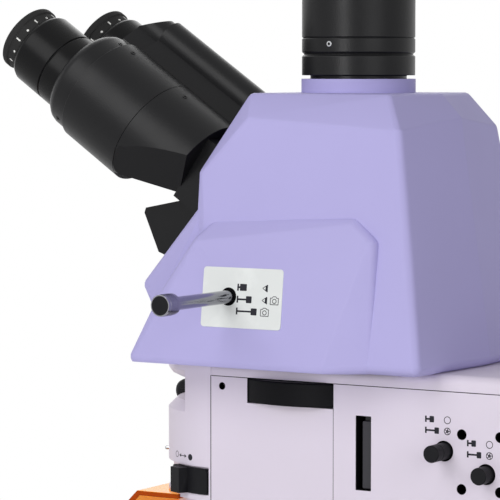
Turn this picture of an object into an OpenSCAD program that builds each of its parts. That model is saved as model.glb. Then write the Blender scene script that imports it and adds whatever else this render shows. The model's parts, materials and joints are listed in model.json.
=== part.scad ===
// Upright fluorescence microscope: stand, stage, epi-illuminator and trinocular head.
// +X is the user's right, the user sits at -Y, Z = 0 is the table.

/* [Base] */
// Width of the base
base_w = 184; // [150:1:220]
// Front edge of the base, measured from the centre of the arm's nose
base_front = -95; // [-130:1:-80]
// Rear edge of the base
base_rear = 220; // [212:1:260]
// Top of the base above the table
base_h = 56; // [52:0.5:58]
// Corner radius of the base in plan
base_corner = 24; // [12:1:40]
// Chamfer round the top of the base
base_chamfer = 6; // [2:0.5:10]
// Radius of a rubber foot
foot_r = 12; // [8:0.5:18]
// Height of a rubber foot
foot_h = 4; // [2:0.5:8]
// Thickness of the bottom plate
plate_t = 3; // [2:0.5:5]
// Radius of the field lens
field_lens_r = 20; // [14:0.5:24]
// Radius of the field diaphragm ring
field_ring_r = 28; // [26:0.5:36]

/* [Column and arm] */
// Width of the column
column_w = 90; // [80:1:96]
// Front face of the column
column_front = 135; // [132:1:145]
// Rear face of the column
column_rear = 205; // [195:1:210]
// Width of the focus rail
rail_w = 36; // [24:1:44]
// How far the rail stands out
rail_depth = 6; // [4:0.5:6.5]
// Underside of the arm
arm_bottom = 274; // [270:1:282]
// Top of the arm, where the illuminator sits
arm_top = 322; // [318:1:326]
// Half-width of the arm
arm_half = 50; // [46:1:53]
// Radius of the inner corner between column and arm
arm_fillet = 30; // [10:1:40]

/* [Focus drive] */
// Height of the focus shaft
focus_z = 95; // [92:1:110]
// Place of the focus shaft along Y
focus_y = 170; // [165:1:175]
// Radius of the hollow coarse shaft
coarse_shaft_r = 8; // [7:0.25:10]
// Radius of a coarse knob
coarse_r = 30; // [24:1:33]
// Width of a coarse knob
coarse_w = 21; // [14:1:26]
// Radius of the fine shaft
fine_shaft_r = 4; // [3:0.25:5]
// Radius of a fine knob
fine_r = 14; // [10:1:20]
// Width of a fine knob
fine_w = 17; // [12:1:22]
// Width of the tension collar
collar_w = 7; // [5:0.5:9]

/* [Stage and condenser] */
// Optical axis, measured from the centre of the arm's nose
optic_y = 21.5; // [20:0.5:23]
// Height of the specimen
specimen_z = 170; // [168:0.5:172]
// Half-width of the stage
stage_half = 105; // [95:1:115]
// Front edge of the stage
stage_front = -68; // [-80:1:-55]
// Rear edge of the stage
stage_rear = 100; // [90:1:102]
// Thickness of the moving stage
stage_t = 18.7; // [14:0.1:20]
// Thickness of the fixed plate under the stage
stage_base_t = 11; // [9:0.5:12]
// Half-width of the fixed plate
stage_base_half = 74; // [65:1:75]
// Fore and aft travel of the stage to each side
stage_travel = 25; // [20:1:26]
// Length of a microscope slide
slide_l = 76; // [70:1:80]
// Radius of the condenser barrel
condenser_r = 30; // [26:0.5:31]
// Radius of the condenser's top lens mount
condenser_top_r = 16; // [12:0.5:17]
// Place of the stage drive along X
drive_x = 86; // [86:0.5:90]
// Place of the stage drive along Y
drive_y = 45; // [35:1:55]

/* [Nosepiece] */
// Distance from the objective's shoulder to the specimen
parfocal = 60; // [58:0.5:61]
// Radius of the shoulder circle
port_ring_r = 35; // [34:0.5:36]
// Tilt of the nosepiece
nose_tilt = 14.5; // [14:0.1:15]
// Number of objective ports
ports = 5; // [4:1:5]
// Radius of the objective thread
port_r = 12.5; // [10:0.25:12.75]
// Depth of the objective thread
port_depth = 6; // [5:0.5:8]
// Radius of the nosepiece turret
turret_r = 51; // [50:0.5:54]

/* [Illuminator] */
// Half-width of the illuminator, and the radius of its nose
illum_half = 55; // [54:0.5:58]
// Seam between the nose and the turret section
nose_seam = -2; // [-4:0.5:0]
// Centre of the nose's curve along Y
nose_y = -1.4; // [-2:0.1:0]
// Seam between the turret section and the rear section
turret_seam = 80; // [80:0.5:83]
// Rear face of the illuminator
illum_rear = 228; // [220:1:245]
// Seam under the top cover
cover_seam = 396; // [396:0.5:398]
// Top of the top cover, where the head sits
cover_top = 405; // [404:0.5:407]
// Height of the lamp beam
beam_z = 357.5; // [356:0.5:359]
// Wheel centre of the filter turret
wheel_y = 51.5; // [51:0.5:52]
// Radius of the filter wheel
wheel_r = 61.5; // [60.5:0.25:62]
// Underside of the filter wheel
wheel_z = 382; // [381:0.5:383]
// Width of a filter cube
cube_w = 24; // [20:0.5:24]
// Number of filter cubes
cubes = 3; // [1:1:3]
// Front of the filter slider slot
slot_front = 94.5; // [94:0.25:96]
// Width of the slot
slot_w = 10; // [9:0.5:12]
// Bottom of the slot
slot_z = 336.6; // [335:0.5:338]
// Height of the slot
slot_h = 42.4; // [40:0.5:44]
// Field stop rod along Y
field_rod_y = 150.5; // [149:0.5:156]
// Field stop rod height
field_rod_z = 362.8; // [360:0.5:364]
// Aperture stop rod along Y
aperture_rod_y = 176.5; // [175:0.5:182]
// Aperture stop rod height
aperture_rod_z = 351.7; // [350:0.5:354]
// Radius of a stop rod's knob
stop_knob_r = 5.2; // [4:0.1:5.3]
// Radius of the recess round a stop rod
stop_recess_r = 5.8; // [5.7:0.1:8]
// How far the field stop's knob stands out of the side
field_out = 15.7; // [9:0.1:20]
// How far the aperture stop's knob stands out of the side
aperture_out = 9.8; // [9:0.1:20]
// Length of the lamp house
lamp_l = 88; // [60:1:110]
// Half-width of the lamp house
lamp_half = 46; // [40:1:50]
// Number of cooling slots on each side
fins = 8; // [4:1:9]

/* [Shutter and shield] */
// Bottom of the shutter plate
shutter_z = 325.8; // [325:0.1:327]
// Height of the shutter plate
shutter_h = 14.8; // [12:0.1:16]
// Angle between the side and the near end of the plate
shutter_start = 3; // [3:0.5:8]
// Angle that the plate covers
shutter_span = 34; // [30:1:44]
// Angle between the side and the finger rib
rib_angle = 24; // [18:1:30]
// Half-width of the amber shield
shield_half = 50; // [45:1:60]
// How far the shield's plate stands above the arm
shield_rise = 1.6; // [0.5:0.1:2]
// Thickness of the amber shield
shield_t = 3; // [2:0.5:4]
// Length of the sloping panel
shield_l = 82; // [60:1:95]
// Slope of the panel below the level
shield_slope = 45; // [35:1:55]

/* [Head] */
// Top of the head
head_top = 560; // [558:1:562]
// Half-width of the top face
head_top_half = 50; // [47:0.5:52]
// Edge radius of the head
head_edge = 5; // [4.5:0.5:6]
// Wall of the head's shells
head_wall = 3; // [2:0.5:3.5]
// Height of the splitter rod
splitter_z = 445.2; // [443:0.5:447]
// Splitter rod along Y
splitter_y = 27.7; // [26:0.5:29]
// Outer end of the splitter rod when pulled out
splitter_end = 154; // [146:1:160]
// Radius of the splitter rod
splitter_r = 3.75; // [3:0.25:4.5]
// Camera port along Y
port_y = 65; // [63:0.5:67]
// Radius of the collar under the camera tube
collar_r = 33.2; // [31:0.1:36]
// Radius of the camera tube
camera_r = 32.9; // [30:0.1:35]
// Length of the camera tube above the collar
camera_l = 62; // [47:1:82]
// Radius of the camera thread
camera_thread_r = 12.7; // [10:0.1:16]
// Length of the camera thread
camera_thread_l = 4; // [3:0.5:6]

/* [Eyepiece tube] */
// Slope of the eyepiece axes above the level
ocular_tilt = 34.4; // [32:0.1:36]
// Reference point of the eyepiece axes along Y
eye_y = -135.1; // [-138:0.1:-132]
// Reference point of the eyepiece axes in height
eye_z = 587.3; // [586:0.1:589]
// Distance between the eyepieces, fully apart
ipd_max = 78; // [76:0.5:80]
// Smallest distance between the eyepieces
ipd_min = 52; // [50:0.5:60]
// Radius of the prism housings
barrel_r = 33.5; // [32:0.25:34]
// How far a housing's centre stands above the eyepiece axis
barrel_rise = 4.5; // [3:0.25:5]
// Radius of the front caps
cap_r = 31.5; // [29:0.25:31.5]
// Length of the front caps
cap_l = 17; // [15:0.5:21]
// Top of the fixed spine between the housings, above the eyepiece axes
crest_top = 54; // [50:0.5:56]
// Radius of the spine's crest
crest_r = 10.5; // [9:0.25:12]
// Radius of the spindle that the housings swing on
spindle_r = 17; // [14:0.5:17.5]
// Wall of the hinge rings
ring_wall = 5; // [4:0.5:5]
// Radius of the eyepieces
eyepiece_r = 22.8; // [20:0.1:23]
// Radius of the eyepiece's barrel
eye_barrel_r = 15; // [11.6:0.1:15.2]
// Radius of the dioptre rings
dioptre_r = 19.9; // [18:0.1:20]

/* [Hidden] */
$fn = 64;

// Clearances: a running fit in radius, and the space between moving pieces
running = 0.05;
gap = 0.3;
over = 1;

base_bottom = foot_h + plate_t;
side_x = base_w / 2;
control_y = base_front + 45;
control_z = base_h / 2 + 2;
lens_rise = 6;
rail_front = column_front - rail_depth;
stage_top = specimen_z - 1;
stage_bottom = stage_top - stage_t;
base_plate_top = stage_bottom - gap;
carrier_bottom = base_plate_top - 45;
carrier_front = rail_front - 31;
condenser_top = stage_top - 2;
condenser_bottom = condenser_top - 67;
holder_z = stage_top + gap;
shoulder_z = specimen_z + parfocal;
port_reach = port_ring_r / sin(nose_tilt);
apex_z = shoulder_z + port_reach;
turret_top = port_reach * cos(nose_tilt) - 10;
cube_ring_r = wheel_y - optic_y;
cube_reach = norm([cube_ring_r + cube_w / 2, cube_w / 2]);
cube_h = 36;
wheel_t = cover_seam - wheel_z - gap;
shield_top = arm_top + shield_rise;
shield_bend = -(illum_half + 2.3);
shield_root = -28;
split_e = -98;
barrel_front_e = -54;
cap_front_e = barrel_front_e + cap_l;
neck_rear_e = -139.5;
knuckle_e = (split_e + cap_front_e) / 2;
ring_r = spindle_r + ring_wall;
fill_n = 30;
fill_angle = 57.3;
spine_root_n = 33.5;
crest_n = crest_top - crest_r;
crest_base = 41.6;
swing = acos(ipd_min / ipd_max);
closing_angle = 90 - swing - 2;
collar_top = head_top + 8;
camera_top = collar_top + camera_l;
camera_flange = camera_top + 20;
eye_front_e = 11;
eye_shoulder_e = -0.7;

// The origin lies at the middle of the box's underside
front_y = eye_y - (dioptre_r + 0.8) * sin(ocular_tilt) - eye_front_e * cos(ocular_tilt);
rear_y = illum_rear + lamp_l;
center_x = (splitter_end - stage_half) / 2;
center_y = (front_y + rear_y) / 2;

module placed() translate([-center_x, -center_y, 0]) children();
module rod_x(x0, x1, y, z, r) translate([x0, y, z]) rotate([0, 90, 0]) cylinder(h = x1 - x0, r = r);
module rod_y(y0, y1, x, z, r) translate([x, y0, z]) rotate([-90, 0, 0]) cylinder(h = y1 - y0, r = r);
module rod_z(z0, z1, x, y, r) translate([x, y, z0]) cylinder(h = z1 - z0, r = r);
module block(x0, x1, y0, y1, z0, z1) translate([x0, y0, z0]) cube([x1 - x0, y1 - y0, z1 - z0]);
module ocular_frame() translate([0, eye_y, eye_z]) rotate([90 - ocular_tilt, 0, 0]) children();
module nosepiece_frame() translate([0, optic_y, apex_z]) rotate([nose_tilt, 0, 0]) children();

// Objective port number i, seen from the point where all objective axes meet
module port_frame(i) nosepiece_frame() rotate([0, 0, i * 360 / ports]) rotate([-nose_tilt, 0, 0]) children();

// A slab whose outline lies in YZ, centred on X = 0
module side_profile(points, half) translate([-half, 0, 0])
  rotate([90, 0, 90]) linear_extrude(2 * half) polygon(points);

// A pie slice about Z between two angles, for cutting ring sectors
module slice(r, a0, a1, z0, z1) translate([0, 0, z0]) linear_extrude(z1 - z0)
  polygon([[0, 0], 2 * r * [cos(a0), sin(a0)],
           3 * r * [cos((a0 + a1) / 2), sin((a0 + a1) / 2)], 2 * r * [cos(a1), sin(a1)]]);

module ring_sector(r0, r1, a0, a1, z0, z1) intersection() {
  difference() {
    rod_z(z0, z1, 0, 0, r1);
    rod_z(z0 - over, z1 + over, 0, 0, r0);
  }
  slice(r1, a0, a1, z0, z1);
}

// Base, feet and controls

module base_outline(inset) translate([0, (base_front + base_rear) / 2]) offset(r = base_corner, $fn = 40)
  square([base_w, base_rear - base_front] - 2 * (base_corner + inset) * [1, 1], center = true);

module base_housing() placed() color("gainsboro") difference() {
  hull() {
    translate([0, 0, base_bottom]) linear_extrude(base_h - base_bottom - base_chamfer) base_outline(0);
    translate([0, 0, base_h - over]) linear_extrude(over) base_outline(base_chamfer);
  }
  rod_z(base_h - 10, base_h + over, 0, optic_y, field_lens_r + running);
  rod_x(side_x - 12, side_x + over, control_y, control_z, 4 + running);
  switch_recess();
  block(inlet_x - 14, inlet_x + 14, base_rear - 16, base_rear + over, inlet_z - 10, inlet_z + 10);
}

module base_plate() placed() color("dimgray") difference() {
  translate([0, 0, foot_h]) linear_extrude(plate_t) base_outline(4);
  for (p = foot_places) rod_z(0, foot_h + 1, p[0], p[1], 3);
}

foot_places = [for (x = [-1, 1], y = [base_front + 30, base_rear - 30]) [x * (side_x - 26), y]];

module rubber_feet() placed() color("black") for (p = foot_places) union() {
  rod_z(0, foot_h, p[0], p[1], foot_r);
  rod_z(foot_h, foot_h + 1, p[0], p[1], 3 - running);
}

inlet_x = 40;
inlet_z = base_h / 2;
module power_inlet() placed() color("black") {
  difference() {
    block(inlet_x - 14, inlet_x + 14, base_rear - 16, base_rear + 1.2, inlet_z - 10, inlet_z + 10);
    block(inlet_x - 11.5, inlet_x + 11.5, base_rear - 13, base_rear + 2.2, inlet_z - 7.5, inlet_z + 7.5);
  }
  for (i = [-1, 0, 1])
    block(inlet_x + 7 * i - 1, inlet_x + 7 * i + 1, base_rear - 14, base_rear - 8,
          inlet_z - 1 - 2 * abs(i), inlet_z + 3 - 2 * abs(i));
}

rocker_half = 10;
rocker_pivot = -side_x + 4;
module switch_recess() {
  block(-side_x - over, rocker_pivot + 4, control_y - rocker_half - 1, control_y + rocker_half + 1,
        control_z - 7, control_z + 7);
  rod_z(control_z - 9, control_z + 9, rocker_pivot, control_y, 1.5 + running);
}

module power_switch() placed() color("black") translate([rocker_pivot, control_y, control_z]) {
  rotate([0, 0, -6]) translate([0, 0, -6.5]) linear_extrude(13)
    polygon([[1.8, -4], [1.8, 4], [-3, rocker_half], [-5.6, rocker_half - 0.4], [-4.6, 0],
             [-5.6, 0.4 - rocker_half], [-3, -rocker_half]]);
  rod_z(-8.8, 8.8, 0, 0, 1.5);
}

module brightness_knob() placed() color("black") {
  rod_x(side_x - 11, side_x + gap, control_y, control_z, 4);
  rod_x(side_x + gap, side_x + 13, control_y, control_z, 11);
  rod_x(side_x + 13, side_x + 14, control_y, control_z, 10);
}

module field_lens_ring() placed() color("black") difference() {
  rod_z(base_h + gap, base_h + lens_rise, 0, optic_y, field_ring_r);
  rod_z(base_h, base_h + lens_rise + over, 0, optic_y, field_lens_r + running);
}

module field_lens() placed() color("aliceblue") translate([0, optic_y, base_h - 10])
  cylinder(h = 10 + lens_rise - 1, r = field_lens_r);

// Column, arm and focus drive

module stand_column() placed() color("gainsboro") difference() {
  union() {
    block(-column_w / 2, column_w / 2, column_front, column_rear, base_h, arm_bottom + over);
    block(-arm_half, arm_half, 0, column_rear, arm_bottom, arm_top);
    rod_z(arm_bottom, arm_top, 0, 0, arm_half);
    block(-rail_w / 2, rail_w / 2, rail_front, column_front + over, base_h + 18, 210);
    difference() {
      block(-column_w / 2, column_w / 2, column_front - arm_fillet, column_front + over,
            arm_bottom - arm_fillet, arm_bottom + over);
      rod_x(-column_w, column_w, column_front - arm_fillet, arm_bottom - arm_fillet, arm_fillet);
    }
  }
  rod_x(-column_w, column_w, focus_y, focus_z, coarse_shaft_r + running);
  rod_z(arm_bottom - over, arm_top + over, 0, optic_y, 12);
  block(-illum_half, illum_half, -illum_half, shield_root + gap, shield_top - shield_t, shield_top + over);
}

knob_start = column_w / 2 + gap;
module coarse_focus_knobs() placed() color("black") difference() {
  union() {
    rod_x(-knob_start - coarse_w, knob_start + collar_w + gap + coarse_w, focus_y, focus_z, coarse_shaft_r);
    rod_x(-knob_start - coarse_w, -knob_start, focus_y, focus_z, coarse_r);
    rod_x(knob_start + collar_w + gap, knob_start + collar_w + gap + coarse_w, focus_y, focus_z, coarse_r);
  }
  rod_x(-2 * column_w, 2 * column_w, focus_y, focus_z, fine_shaft_r + running);
}

module fine_focus_knobs() placed() color("black") {
  inner_left = -knob_start - coarse_w - gap;
  inner_right = knob_start + collar_w + coarse_w + 2 * gap;
  rod_x(inner_left - fine_w, inner_right + fine_w, focus_y, focus_z, fine_shaft_r);
  rod_x(inner_left - fine_w, inner_left, focus_y, focus_z, fine_r);
  rod_x(inner_right, inner_right + fine_w, focus_y, focus_z, fine_r);
}

module tension_collar() placed() color("silver") difference() {
  rod_x(knob_start, knob_start + collar_w, focus_y, focus_z, coarse_r - 5);
  rod_x(0, 2 * column_w, focus_y, focus_z, coarse_shaft_r + running);
}

// Stage and condenser

module stage_carrier() placed() color("dimgray") difference() {
  union() {
    block(-32, 32, carrier_front, column_front - gap, carrier_bottom, base_plate_top);
    block(-stage_base_half, stage_base_half, stage_front + 25, carrier_front + over,
          base_plate_top - stage_base_t, base_plate_top);
  }
  block(-rail_w / 2 - gap, rail_w / 2 + gap, rail_front - gap, column_front + over,
        carrier_bottom - over, base_plate_top + over);
  rod_z(base_plate_top - stage_base_t - over, base_plate_top + over, 0, optic_y, condenser_r + 4);
  rod_x(-33, -12, carrier_front + 14, carrier_bottom + 12, 4 + running);
}

module stage_plate() placed() color("black") difference() {
  union() {
    block(-stage_half, stage_half, stage_front, stage_rear, stage_bottom, stage_top);
    rod_z(stage_bottom - 10, stage_bottom + over, drive_x, drive_y, 9);
  }
  for (y = [-1, 1]) rod_z(stage_bottom - over, stage_top + over, 0, optic_y + y * stage_travel,
                         condenser_top_r + 1.5);
  block(-condenser_top_r - 1.5, condenser_top_r + 1.5, optic_y - stage_travel, optic_y + stage_travel,
        stage_bottom - over, stage_top + over);
  rod_z(stage_bottom - 11, stage_bottom + 8, drive_x, drive_y, 5 + running);
}

jaw_t = 2.6;
jaw_x = slide_l / 2 + gap;
holder_bar_y = optic_y + 31;
clip_pivot = [jaw_x + 10, holder_bar_y + 5];
module specimen_holder() placed() color("dimgray") difference() {
  union() {
    block(-jaw_x - 10, jaw_x + 18, holder_bar_y, holder_bar_y + 11, holder_z, holder_z + 5);
    block(-jaw_x - 8, -jaw_x, optic_y - 12, holder_bar_y + over, holder_z, holder_z + jaw_t);
    rod_z(holder_z, holder_z + 9, clip_pivot[0], clip_pivot[1], 2);
  }
}

module specimen_clip() placed() color("silver") difference() {
  union() {
    rod_z(holder_z + 5 + gap, holder_z + 7.5, clip_pivot[0], clip_pivot[1], 5);
    block(clip_pivot[0] - 3, clip_pivot[0] + 3, optic_y - 2, clip_pivot[1],
          holder_z + 5 + gap, holder_z + 7.5);
    block(jaw_x, clip_pivot[0] + 3, optic_y - 6, optic_y + 2, holder_z + 5 + gap, holder_z + 7.5);
    block(jaw_x, jaw_x + 4, optic_y - 6, optic_y + 2, holder_z, holder_z + 6);
  }
  rod_z(holder_z, holder_z + 10, clip_pivot[0], clip_pivot[1], 2 + running);
}

y_knob_z = stage_bottom - 43;
module stage_y_knob() placed() color("black") difference() {
  union() {
    rod_z(y_knob_z, y_knob_z + 20, drive_x, drive_y, 13);
    rod_z(y_knob_z, stage_bottom + 7, drive_x, drive_y, 5);
  }
  rod_z(y_knob_z - over, stage_bottom + 8, drive_x, drive_y, 2.5 + running);
}

module stage_x_knob() placed() color("black") {
  rod_z(y_knob_z - 21, y_knob_z - gap, drive_x, drive_y, 11);
  rod_z(y_knob_z - gap, stage_bottom + 7, drive_x, drive_y, 2.5);
}

holder_ring_z = condenser_bottom + 12;
module condenser_carrier() placed() color("dimgray") difference() {
  union() {
    rod_z(holder_ring_z, holder_ring_z + 13, 0, optic_y, condenser_r + 8);
    block(-16, 16, optic_y + condenser_r, carrier_front - gap, holder_ring_z, holder_ring_z + 13);
  }
  rod_z(holder_ring_z - over, holder_ring_z + 14, 0, optic_y, condenser_r);
}

module condenser_knob() placed() color("black") {
  rod_x(-32, -14, carrier_front + 14, carrier_bottom + 12, 4);
  rod_x(-48, -32 - gap, carrier_front + 14, carrier_bottom + 12, 13);
  rod_x(-32 - gap, -32, carrier_front + 14, carrier_bottom + 12, 4);
}

module condenser_body() placed() color("black") difference() {
  translate([0, optic_y, condenser_bottom]) rotate_extrude() polygon([
    [12, 0], [28, 0], [28, 4], [24, 4], [24, 9], [condenser_r, 9], [condenser_r, 31],
    [condenser_r - 4, 34], [condenser_r - 4, 41], [condenser_top_r + 4, 46], [condenser_top_r, 49],
    [condenser_top_r, 67], [12, 67]]);
}

module condenser_lens() placed() color("aliceblue")
  rod_z(condenser_top - 12, condenser_top - 0.5, 0, optic_y, 12);

lever_angle = -50;
module aperture_lever() placed() color("silver") translate([0, optic_y, condenser_bottom + 4 + gap])
  difference() {
    union() {
      cylinder(h = 4.4, r = 29);
      rotate([0, 0, lever_angle]) translate([26, -2, 0]) cube([26, 4, 4.4]);
    }
    translate([0, 0, -over]) cylinder(h = 7, r = 24 + running);
  }

// Nosepiece and objectives

module nosepiece_mount() placed() color("silver") difference() {
  intersection() {
    nosepiece_frame() translate([0, 0, gap - turret_top]) cylinder(h = 60, r = turret_r - 5);
    block(-100, 100, -100, 200, 100, arm_bottom);
  }
  rod_z(shoulder_z, arm_top, 0, optic_y, 12);
}

module nosepiece_turret() placed() color("black") difference() {
  union() {
    nosepiece_frame() translate([0, 0, -turret_top - 10]) cylinder(h = 10, r1 = turret_r - 7, r2 = turret_r);
    for (i = [0:ports - 1]) port_frame(i) translate([0, 0, -port_reach]) cylinder(h = 6, r = 15.5);
  }
  for (i = [0:ports - 1]) {
    port_frame(i) translate([0, 0, -port_reach - over]) cylinder(h = port_depth + over, r = port_r);
    port_frame(i) translate([0, 0, -port_reach]) cylinder(h = 30, r = 10);
    port_frame(i) translate([0, 0, -port_reach - 12]) cylinder(h = 12, r = 15.5);
  }
}

// An objective: thread, flange, knurled barrel, then steps down to the front lens
module objective(i, reach, barrel_r0, nose_r, tip_r) port_frame(i) rotate_extrude() polygon([
  [5, -port_reach + port_depth - over], [port_r - 0.1, -port_reach + port_depth - over],
  [port_r - 0.1, -port_reach], [15, -port_reach], [15, -port_reach - 12], [barrel_r0, -port_reach - 13],
  [barrel_r0, -port_reach - reach * 0.62], [nose_r, -port_reach - reach * 0.68],
  [nose_r, -port_reach - reach * 0.84], [tip_r, -port_reach - reach + 1],
  [tip_r, -port_reach - reach], [1.2, -port_reach - reach], [1.2, -port_reach - reach + 4],
  [5, -port_reach - reach + 10]]);

module objective_low() placed() color("silver") objective(0, parfocal - 12, 13.5, 11, 8);
module objective_high() placed() color("silver") objective(1, parfocal - 0.9, 13.5, 10.5, 4.5);
module objective_oil() placed() color("silver") objective(2, parfocal - 0.5, 13.5, 10, 4);
module objective_scan() placed() color("silver") objective(ports - 1, parfocal - 18, 13.5, 12.5, 10);

// Illuminator

module wheel_space() {
  rod_z(wheel_z - 0.5, cover_seam + over, 0, wheel_y, wheel_r + 0.5);
  rod_z(arm_top + 4, wheel_z, 0, wheel_y, cube_reach + 0.5);
}

module nose_housing() placed() color("gainsboro") difference() {
  rod_z(arm_top, cover_top - 2, 0, nose_y, illum_half);
  block(-2 * illum_half, 2 * illum_half, nose_seam, 2 * illum_half, arm_top - over, cover_top + over);
  knob_recess();
  wheel_space();
  translate([0, nose_y, 0]) ring_sector(illum_half - 3, illum_half + 3, -90, 0.7 - shutter_start,
                                        shutter_z - gap, shutter_z + shutter_h + 1.2);
  block(-illum_half, illum_half, -2 * illum_half, shield_root + gap, arm_top - over, shield_top);
}

// The hollow round the lock knob, with a bevelled floor and a rolled upper lip
lock_z = 379;
recess_y = -22.6;
module knob_recess() {
  intersection() {
    translate([0, nose_y, 0]) rotate_extrude() polygon([
      [0, 378.5], [illum_half - 5.5, 378.5], [illum_half + 5, 368], [illum_half + 5, 398],
      [illum_half + 0.2, 397.6], [illum_half - 0.6, 396.3], [illum_half - 2.3, 394],
      [illum_half - 6.5, 391.9], [illum_half - 11, 390.5], [0, 389]]);
    block(-2 * illum_half, 2 * illum_half, -2 * illum_half, recess_y, 360, 400);
  }
  rod_y(-2 * illum_half, -44, 0, lock_z, 7.2);
  rod_y(-45, -12.8, 0, lock_z, 3 + running);
}

module head_lock_knob() placed() color("black") union() {
  translate([0, -46, lock_z]) rotate([90, 0, 0]) rotate_extrude() polygon([
    [0, 0], [6.6, 0], [6.6, 10], [5, 13], [0, 13]]);
  rod_y(-46, -13, 0, lock_z, 3);
}

module turret_housing() placed() color("gainsboro") difference() {
  block(-illum_half, illum_half, nose_seam, turret_seam, arm_top, cover_seam);
  wheel_space();
  rod_z(arm_top - over, arm_top + 5, 0, optic_y, 12);
  rod_x(illum_half - 6, illum_half + over, 5.7, 390.3, 2.2);
}

module illuminator_housing() placed() color("gainsboro") difference() {
  block(-illum_half, illum_half, turret_seam, illum_rear, arm_top, cover_seam);
  wheel_space();
  block(-illum_half - over, illum_half + over, slot_front, slot_front + slot_w, slot_z, slot_z + slot_h);
  rod_y(turret_seam - over, illum_rear + over, 0, beam_z, 20);
  stop_bore(field_rod_y, field_rod_z);
  stop_bore(aperture_rod_y, aperture_rod_z);
  for (y = [field_rod_y + 11, aperture_rod_y + 8.5], z = [beam_z - 15.2, beam_z + 15.2])
    rod_x(illum_half - 12, illum_half + over, y, z, 3);
}

module stop_bore(y, z) {
  rod_x(illum_half - 8, illum_half + over, y, z, stop_recess_r);
  rod_x(0, illum_half, y, z, 3 + running);
}

// A stop rod: stem, knob and end cap
module stop_rod(y, z, out) {
  rod_x(20.5, illum_half - 5, y, z, 3);
  rod_x(illum_half - 5, illum_half + out, y, z, stop_knob_r);
}
module field_stop_rod() placed() color("black") stop_rod(field_rod_y, field_rod_z, field_out);
module aperture_stop_rod() placed() color("black") stop_rod(aperture_rod_y, aperture_rod_z, aperture_out);

module iris_diaphragms() placed() color("dimgray") for (y = [field_rod_y, aperture_rod_y]) difference() {
  rod_y(y - 5, y + 5, 0, beam_z, 20);
  rod_y(y - 6, y + 6, 0, beam_z, 12);
}

slider_half = illum_half - 6;
slider_t = slot_w - 4;
slider_y = slot_front + slot_w - slider_t - 1;
module filter_slider() placed() color("black") difference() {
  block(-slider_half, slider_half, slider_y, slider_y + slider_t, slot_z + gap, slot_z + slot_h - gap);
  for (x = [-1, 1]) rod_y(slider_y - over, slider_y + slider_t + over, 25 * x, beam_z, 12);
}

module top_cover() placed() color("gainsboro") difference() {
  union() {
    translate([0, illum_rear, 0]) rotate([90, 0, 0]) linear_extrude(illum_rear - nose_seam) union() {
      for (x = [-1, 1]) intersection() {
        translate([x * (illum_half - 6), cover_seam + 3]) circle(r = 6);
        translate([-illum_half, cover_seam]) square([2 * illum_half, cover_top - cover_seam]);
      }
      translate([-illum_half, cover_seam]) square([2 * illum_half, 3]);
      translate([6 - illum_half, cover_seam]) square([2 * illum_half - 12, cover_top - cover_seam]);
    }
    rod_z(wheel_z, cover_seam + over, 0, wheel_y, 6);
  }
  rod_z(cover_seam - over, cover_top + over, 0, optic_y, 12);
}

module filter_turret() placed() color("black") difference() {
  rod_z(wheel_z, wheel_z + wheel_t, 0, wheel_y, wheel_r);
  rod_z(wheel_z - over, wheel_z + wheel_t + over, 0, wheel_y, 6 + running);
  for (i = [0:cubes - 1]) cube_place(i) rod_z(wheel_z - over, wheel_z + wheel_t + over, 0, 0, 9);
}

module cube_place(i) translate([0, wheel_y, 0]) rotate([0, 0, i * 360 / cubes])
  translate([0, -cube_ring_r, 0]) children();

module filter_cubes() placed() color("dimgray") for (i = [0:cubes - 1]) cube_place(i) difference() {
  block(-cube_w / 2, cube_w / 2, -cube_w / 2, cube_w / 2, wheel_z - cube_h, wheel_z);
  rod_z(wheel_z - cube_h - over, wheel_z + over, 0, 0, 8.5);
  rod_y(0, cube_w, 0, beam_z, 8.5);
}

// The shutter: a curved plate with round corners, and a rib for the finger
module shutter_slider() placed() color("black") translate([0, nose_y, 0]) union() {
  shutter_end = shutter_start + shutter_span;
  top = shutter_z + shutter_h;
  shutter_ring(-shutter_end + 2.1, -shutter_start - 2.1, shutter_z, top);
  shutter_ring(-shutter_end, -shutter_start, shutter_z + 2, top - 2);
  intersection() {
    shutter_ring(-shutter_end, -shutter_start, shutter_z, top);
    for (a = [-shutter_end + 2.1, -shutter_start - 2.1], z = [shutter_z + 2, top - 2])
      rotate([0, 0, a]) rod_x(illum_half - 6, illum_half + 4, 0, z, 2.03);
  }
  rotate([0, 0, -rib_angle]) translate([0, 0, shutter_z]) linear_extrude(shutter_h)
    polygon([[illum_half, -5.2], [illum_half + 6.5, -4.4], [illum_half + 6.5, 4.4], [illum_half, 5.2]]);
}
module shutter_ring(a0, a1, z0, z1) ring_sector(illum_half - 3 + gap, illum_half + 1, a0, a1, z0, z1);

module uv_shield() placed() color("orange") union() {
  block(-shield_half, shield_half, shield_bend, shield_root, shield_top - shield_t, shield_top);
  translate([0, shield_bend, shield_top]) rotate([shield_slope, 0, 0])
    block(-shield_half, shield_half, -shield_l, 0, -shield_t, 0);
}

// Lamp house

lamp_z0 = arm_top + 4;
lamp_z1 = cover_seam - 2;
module lamp_house() placed() color("gainsboro") difference() {
  hull() for (x = [-1, 1], z = [lamp_z0 + 12, lamp_z1 - 12])
    rod_y(illum_rear, illum_rear + lamp_l, x * (lamp_half - 12), z, 12, $fn = 32);
  rod_y(illum_rear - over, illum_rear + 40, 0, beam_z, 24);
  for (i = [0:fins - 1], x = [-1, 1])
    block(x * lamp_half - 6, x * lamp_half + 6, illum_rear + 14 + 8 * i, illum_rear + 17.5 + 8 * i,
          lamp_z0 + 14, lamp_z1 - 14);
}

module lamp_emitter() placed() color("yellow") {
  rod_y(illum_rear + 20, illum_rear + 40, 0, beam_z, 24);
  rod_y(illum_rear + 17, illum_rear + 20, 0, beam_z, 6);
}

module collector_lens() placed() color("aliceblue") rod_y(illum_rear, illum_rear + 9, 0, beam_z, 24);

// Head

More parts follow.
